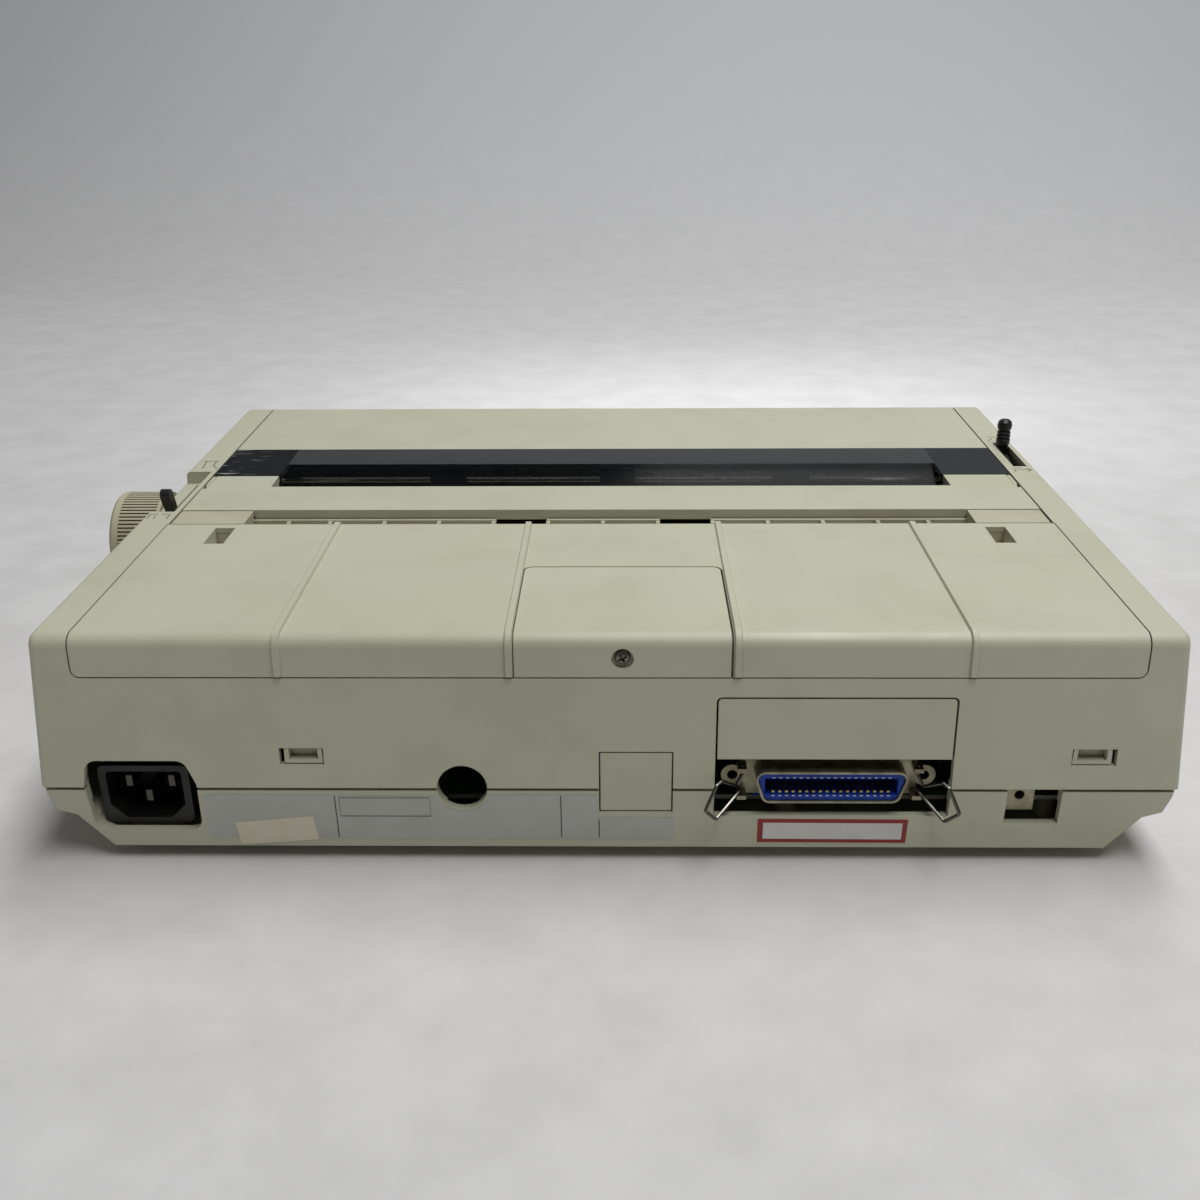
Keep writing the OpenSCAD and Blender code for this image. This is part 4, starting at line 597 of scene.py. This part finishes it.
def cross_head():
    """Pan head with a cross recess, 1 mm in radius, its top towards +Z and its seat at zero."""
    profile = [(0.0, 0.5), (0.5, 0.47), (0.82, 0.34), (0.98, 0.12), (1.0, 0.0),
               (0.5, 0.0), (0.5, -0.5), (0.0, -0.5)]
    blade_half_l, blade_half_w, blade_foot_z, blade_top_z = 0.6, 0.13, 0.08, 0.6
    shape = bmesh.new()
    points = [shape.verts.new((r * MM, 0.0, z * MM)) for r, z in profile]
    edges = [shape.edges.new(pair) for pair in zip(points, points[1:])]
    bmesh.ops.spin(shape, geom=points + edges, axis=(0, 0, 1), cent=(0, 0, 0), angle=math.tau, steps=28)
    bmesh.ops.remove_doubles(shape, verts=shape.verts, dist=1e-7)
    head = linked("cross_head", mesh_from("cross_head", shape))

    cutter = bmesh.new()
    for turn in (0.0, math.pi / 2):
        corners = [(side_x * x, side_y * y, z) for x, y, z in (
            (blade_half_l * 0.5, blade_half_w * 0.7, blade_foot_z), (blade_half_l, blade_half_w, blade_top_z))
            for side_x, side_y in ((-1, -1), (1, -1), (1, 1), (-1, 1))]
        verts = [cutter.verts.new(Matrix.Rotation(turn, 3, "Z") @ Vector(corner) * MM) for corner in corners]
        for quad in ((3, 2, 1, 0), (4, 5, 6, 7), (0, 1, 5, 4), (1, 2, 6, 5), (2, 3, 7, 6), (3, 0, 4, 7)):
            cutter.faces.new([verts[k] for k in quad])
    blades = linked("cross_blades", mesh_from("cross_blades", cutter))
    cut = head.modifiers.new("recess", "BOOLEAN")
    cut.operation, cut.solver, cut.object, cut.use_self = "DIFFERENCE", "EXACT", blades, True
    settle(head)
    bpy.data.objects.remove(blades)
    return head


COVER_SCREW_AT, COVER_SCREW_TURNS, COVER_SCREW_R = (-5.4, 133.1, 72.6), (-90, 28, 0), 2.6
CASE_SCREWS_AT = ((-HALF_W + 53.5, -HALF_D + 20.5), (45.0, -HALF_D + 20.5),
                  (-HALF_W + 24.5, HALF_D - 16.5), (HALF_W - 54.0, HALF_D - 16.5))
CASE_SCREWS_Z, CASE_SCREW_R = 10.0, 3.0

cross = cross_head()
cover_screws = row_of("cover_screw_head", cross, [(COVER_SCREW_AT, COVER_SCREW_TURNS, COVER_SCREW_R)], SCREW)
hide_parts("cover_screw")
under_screws = row_of("case_screw_heads", cross,
                      [((x, y, CASE_SCREWS_Z), (180, 0, 17 * k), CASE_SCREW_R)
                       for k, (x, y) in enumerate(CASE_SCREWS_AT)], SCREW)
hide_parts("case_screws")
bpy.data.objects.remove(cross)


# Bare labels and signs

def corners_rounded(points, radii, steps=5):
    """An outline with its corners turned to arcs: one radius for all, or one for each."""
    out = []
    for k, here in enumerate(points):
        before, after = Vector(points[k - 1]), Vector(points[(k + 1) % len(points)])
        here, r = Vector(here), radii[k] if isinstance(radii, list) else radii
        if r <= 0:
            out.append(tuple(here))
            continue
        u, v = (before - here).normalized(), (after - here).normalized()
        half = math.acos(max(-1.0, min(1.0, u.dot(v)))) / 2
        middle = here + (u + v).normalized() * (r / math.sin(half))
        p, q = here + u * (r / math.tan(half)) - middle, here + v * (r / math.tan(half)) - middle
        start = math.atan2(p.y, p.x)
        turn = (math.atan2(q.y, q.x) - start + 3 * math.pi) % math.tau - math.pi
        angles = [start + turn * i / steps for i in range(steps + 1)]
        out += [(middle.x + r * math.cos(a), middle.y + r * math.sin(a)) for a in angles]
    return out


def on_tray_back(x, z, out):
    """A point on the tray's back, that far out of it."""
    return at(x, tray_y(z) + LIFT + out, z)


def over_tray_back(gap):
    """Places an outline on the tray's back with a gap under it."""
    return lambda x, z, out: on_tray_back(x, z, gap + out)


def on_rail(x, y):
    """A point just over the top of a side rail."""
    return at(x, y, BODY_H + 0.03)


CABLE_HOLE_X, PLATE_NOTCH_R, PLATE_THICK = 45.8, 8.9, 0.15
notch = [(CABLE_HOLE_X + PLATE_NOTCH_R * math.cos(math.radians(a)),
          PART_Z + PLATE_NOTCH_R * math.sin(math.radians(a))) for a in range(196, 345, 8)]
plate = corners_rounded([(129.6, 25.6), (129.6, 8.3), (-22.0, 8.3), (-22.0, 16.8), (2.8, 16.8), (2.8, 25.6)],
                        [1.6, 2.2, 1.0, 1.0, 0, 1.2])
laid_sheet("rating_plate", plate + notch, on_tray_back, PLATE_THICK, SILVER_FILM)

ruled = [[(87.0, 25.1), (87.0, 8.8)],
         [(85.6, 24.4), (56.4, 24.4), (56.4, 17.2), (85.6, 17.2), (85.6, 24.4)],
         [(14.4, 25.2), (14.4, 8.8)],
         [(2.2, 16.0), (2.2, 8.8)]]
lines_of("plate_ruling", [[on_tray_back(x, z, PLATE_THICK + 0.01) for x, z in path] for path in ruled],
         0.35, 0.04, INK)

BORDER_THICK = 0.12
border = corners_rounded([(-48.9, 16.3), (-97.1, 16.1), (-97.0, 6.9), (-49.0, 7.1)], 0.3)
laid_sheet("port_label_border", border, on_tray_back, BORDER_THICK, RED_INK)
laid_sheet("port_label", [(-50.7, 14.9), (-95.5, 14.7), (-95.5, 8.3), (-50.7, 8.5)],
           over_tray_back(BORDER_THICK + 0.01), 0.04, WHITE_FILM_AND_GLINTS)
# The sticker lies over the plate's lower edge.
sticker = corners_rounded([(120.3, 14.6), (94.6, 17.2), (93.7, 7.9), (119.3, 5.6)], 0.3)
laid_sheet("paper_sticker", sticker, over_tray_back(PLATE_THICK + 0.05), 0.1, CREAM_PAPER)

# Generic strokes on the two side rails, drawn darker than the case.
signs = [
    [(175.4, -41.6), (168.2, -41.6)], [(173.6, -41.6), (172.6, -31.2)],
    [(169.4, -41.6), (169.0, -35.0), (166.2, -31.0)],
    [(175.6, 29.8), (175.6, 25.0), (172.8, 25.0)], [(173.2, 29.8), (173.2, 27.0)],
    [(171.6, 25.0), (168.2, 25.0), (168.2, 29.8)],
    [(-169.0, -74.2), (-174.0, -74.2), (-172.4, -68.4)], [(-170.6, -71.6), (-168.2, -68.4)],
    [(-167.8, -29.4), (-171.6, -29.4), (-171.6, -27.2), (-175.6, -27.2)],
    [(-173.6, -29.2), (-175.6, -27.2), (-173.4, -25.0)],
    [(-168.4, -24.6), (-168.4, -27.0), (-170.4, -27.0)]]
lines_of("rail_signs", [[on_rail(*spot) for spot in path] for path in signs], 0.5, 0.05, MOULDED_SIGN)


# Ribs, hook holes, latches, contacts and painted glints on them

RIBS_X = (101.3, 29.7, -40.9, -112.9)
RIB_FRONT_Y, RIB_FOOT_Z = 36.35, 66.9
RIB_FOOT_HALF_W, RIB_TOP_HALF_W, RIB_ROOT, RIB_PROUD = 1.35, 1.0, -0.1, 1.05
PANEL_EDGE_Y, PANEL_EDGE_Z, PANEL_EDGE_R = 129.98, 75.5, 4.5

HOOK_HOLES = ((142.7, 0, 0), (-142.7, 0, 0))
HOOK_BACK_Y, HOOK_LINING_Z, HOOK_LINING_H, HOOK_FLOOR_Z, HOOK_FLOOR_THICK = 55.9, 71.4, 6.55, 73.0, 0.8

LATCHES = ((95.75, 0, 39.2), (-152.65, 0, 39.2))
LATCH_TAB_Y, LATCH_TAB_THICK, LATCH_BACK_Y, LATCH_BACK_THICK = 133.65, 2.75, 133.35, 0.3

CONTACT_PITCH, CONTACTS_PER_ROW, FIRST_CONTACT_X = 2.16, 18, -90.16
CONTACT_GLINTS_Y, CONTACT_GLINTS_Z, CONTACT_ENDS_Y, CONTACT_ENDS_Z = 136.15, (31.4, 24.8), 135.2, 25.85


def oblong(half_w, low, high):
    """A rectangle's outline."""
    return [(-half_w, low), (half_w, low), (half_w, high), (-half_w, high)]


def level_at(height):
    """Places an outline level, growing upwards from a height."""
    return lambda x, y, out: Vector((x, y, height + out)) * MM


def upright_at(depth):
    """Places an outline upright, growing backwards from a depth."""
    return lambda x, z, out: Vector((x, depth + out, z)) * MM


def panel_rib():
    """A bevelled rib along the rear panel's top, over its rounded edge and down its back."""
    path = [(RIB_FRONT_Y, BODY_H, 0.0, 1.0), (PANEL_EDGE_Y, BODY_H, 0.0, 1.0)]
    for degrees in range(10, 91, 10):
        y, z = math.sin(math.radians(degrees)), math.cos(math.radians(degrees))
        path.append((PANEL_EDGE_Y + PANEL_EDGE_R * y, PANEL_EDGE_Z + PANEL_EDGE_R * z, y, z))
    path.append((rear_y(RIB_FOOT_Z), RIB_FOOT_Z, 1.0, UPPER_LEAN))
    section = ((-RIB_FOOT_HALF_W, RIB_ROOT), (-RIB_TOP_HALF_W, RIB_PROUD),
               (RIB_TOP_HALF_W, RIB_PROUD), (RIB_FOOT_HALF_W, RIB_ROOT))
    points = [Vector((x, y + ny * out, z + nz * out)) * MM for y, z, ny, nz in path for x, out in section]
    faces = [(0, 1, 2, 3), tuple(len(points) - 4 + k for k in (3, 2, 1, 0))]
    for row in range(0, len(points) - 4, 4):
        faces += [(row + k, row + 4 + k, row + 4 + (k + 1) % 4, row + (k + 1) % 4) for k in range(4)]
    mesh = bpy.data.meshes.new("panel_rib")
    mesh.from_pydata(points, [], faces)
    return linked("panel_rib", mesh)


def contact_row(height):
    """The points of one row of contacts."""
    return [(FIRST_CONTACT_X + CONTACT_PITCH * k, 0, height) for k in range(CONTACTS_PER_ROW)]


repeated("panel_ribs", panel_rib(), [(x, 0, 0) for x in RIBS_X], CASE)

hook_lining = [(-4.6, HOOK_BACK_Y), (-4.6, 39.1), (4.6, 39.1), (4.6, HOOK_BACK_Y),
               (3.75, HOOK_BACK_Y), (3.75, 39.9), (-3.75, 39.9), (-3.75, HOOK_BACK_Y)]
repeated("hook_linings", cut_shape("hook_lining", hook_lining, level_at(HOOK_LINING_Z), HOOK_LINING_H),
         HOOK_HOLES, LINING)
hook_floor = oblong(4.5, 39.2, HOOK_BACK_Y)
repeated("hook_floors", cut_shape("hook_floor", hook_floor, level_at(HOOK_FLOOR_Z), HOOK_FLOOR_THICK),
         HOOK_HOLES, LINING)

latch_tab = [(-6.2, -2.6), (6.2, -2.6), (6.0, 2.85), (4.5, 2.85),
             (4.6, -1.2), (-4.6, -1.2), (-4.5, 2.85), (-6.0, 2.85)]
repeated("latch_tabs", cut_shape("latch_tab", latch_tab, upright_at(LATCH_TAB_Y), LATCH_TAB_THICK),
         LATCHES, CASE)
latch_back = oblong(6.2, -2.6, 2.8)
repeated("latch_backs", cut_shape("latch_back", latch_back, upright_at(LATCH_BACK_Y), LATCH_BACK_THICK),
         LATCHES, LINING)

# White dashes over the contacts' tips are painted glints.
contact_tip = cut_shape("contact_tip", oblong(0.45, -0.16, 0.16), upright_at(CONTACT_GLINTS_Y), 0.15)
glint_points = [point for height in CONTACT_GLINTS_Z for point in contact_row(height)]
repeated("contact_tips", contact_tip, glint_points, WHITE_FILM_AND_GLINTS)
contact_end = cut_shape("contact_end", oblong(0.45, -0.35, 0.35), upright_at(CONTACT_ENDS_Y), 0.3)
repeated("contact_ends", contact_end, contact_row(CONTACT_ENDS_Z), GOLD)


# Studio, in metres

def sweep():
    """A level floor that bends up to a wall beyond the printer."""
    near_y, bend_y, bend_r, wall_h, half_w = 2.2, -0.9, 0.6, 2.6, 3.0
    bend = [math.radians(6 * k) for k in range(1, 16)]
    profile = [(near_y, 0.0), (bend_y, 0.0)]
    profile += [(bend_y - bend_r * math.sin(a), bend_r - bend_r * math.cos(a)) for a in bend]
    profile.append((bend_y - bend_r, wall_h))
    shape = bmesh.new()
    one, other = ([shape.verts.new((x, y, z)) for y, z in profile] for x in (-half_w, half_w))
    for k in range(len(profile) - 1):
        shape.faces.new((one[k], one[k + 1], other[k + 1], other[k]))
    floor = linked("sweep", mesh_from("sweep", shape))
    for face in floor.data.polygons:
        face.use_smooth = True
    paint(floor, studio_paper("Backdrop paper, white"))


def area(name, place, aim, size, power):
    """A rectangular light of that many watts, turned to a point and hidden from the camera."""
    light = bpy.data.lights.new(name, "AREA")
    light.shape = "RECTANGLE"
    light.size, light.size_y = size
    light.energy = power
    obj = linked(name, light)
    obj.location = place
    obj.rotation_euler = (Vector(aim) - Vector(place)).to_track_quat("-Z", "Y").to_euler()
    obj.visible_camera = False
    return light


def lights():
    """A long soft light over the printer, a small one over the floor beyond it, and a dim room."""
    area("overhead", (-0.35, 0.0, 1.7), (-0.2, 0.0, 0.0), (2.2, 0.6), 29.3)
    pool = area("floor beyond", (-0.08, -0.41, 0.46), (-0.08, -0.41, 0.0), (0.45, 0.1), 0.16)
    pool.spread = math.radians(62)
    world = bpy.data.worlds.new("room")
    world.use_nodes = True
    room = world.node_tree.nodes["Background"]
    room.inputs["Color"].default_value = (1.0, 0.99, 0.98, 1.0)
    room.inputs["Strength"].default_value = 0.09
    bpy.context.scene.world = world


def photo_camera():
    """The camera where the photograph was taken from, found from the case's edges and the socket."""
    forward = Vector((0.01788, -0.91443, -0.40434)).normalized()
    right = Vector((-0.99984, -0.01616, -0.00766)).normalized()
    up = right.cross(forward).normalized()
    data = bpy.data.cameras.new("photo_camera")
    data.sensor_width = 36.0
    data.lens = 38.82
    data.clip_start = 0.01
    place = Matrix((right, up, -forward)).transposed().to_4x4()
    place.translation = at(-5.6, 489.9, 249.5)
    cam = linked("photo_camera", data)
    cam.matrix_world = place
    bpy.context.scene.camera = cam


sweep()
lights()
photo_camera()
bpy.context.scene.view_settings.view_transform = "Standard"
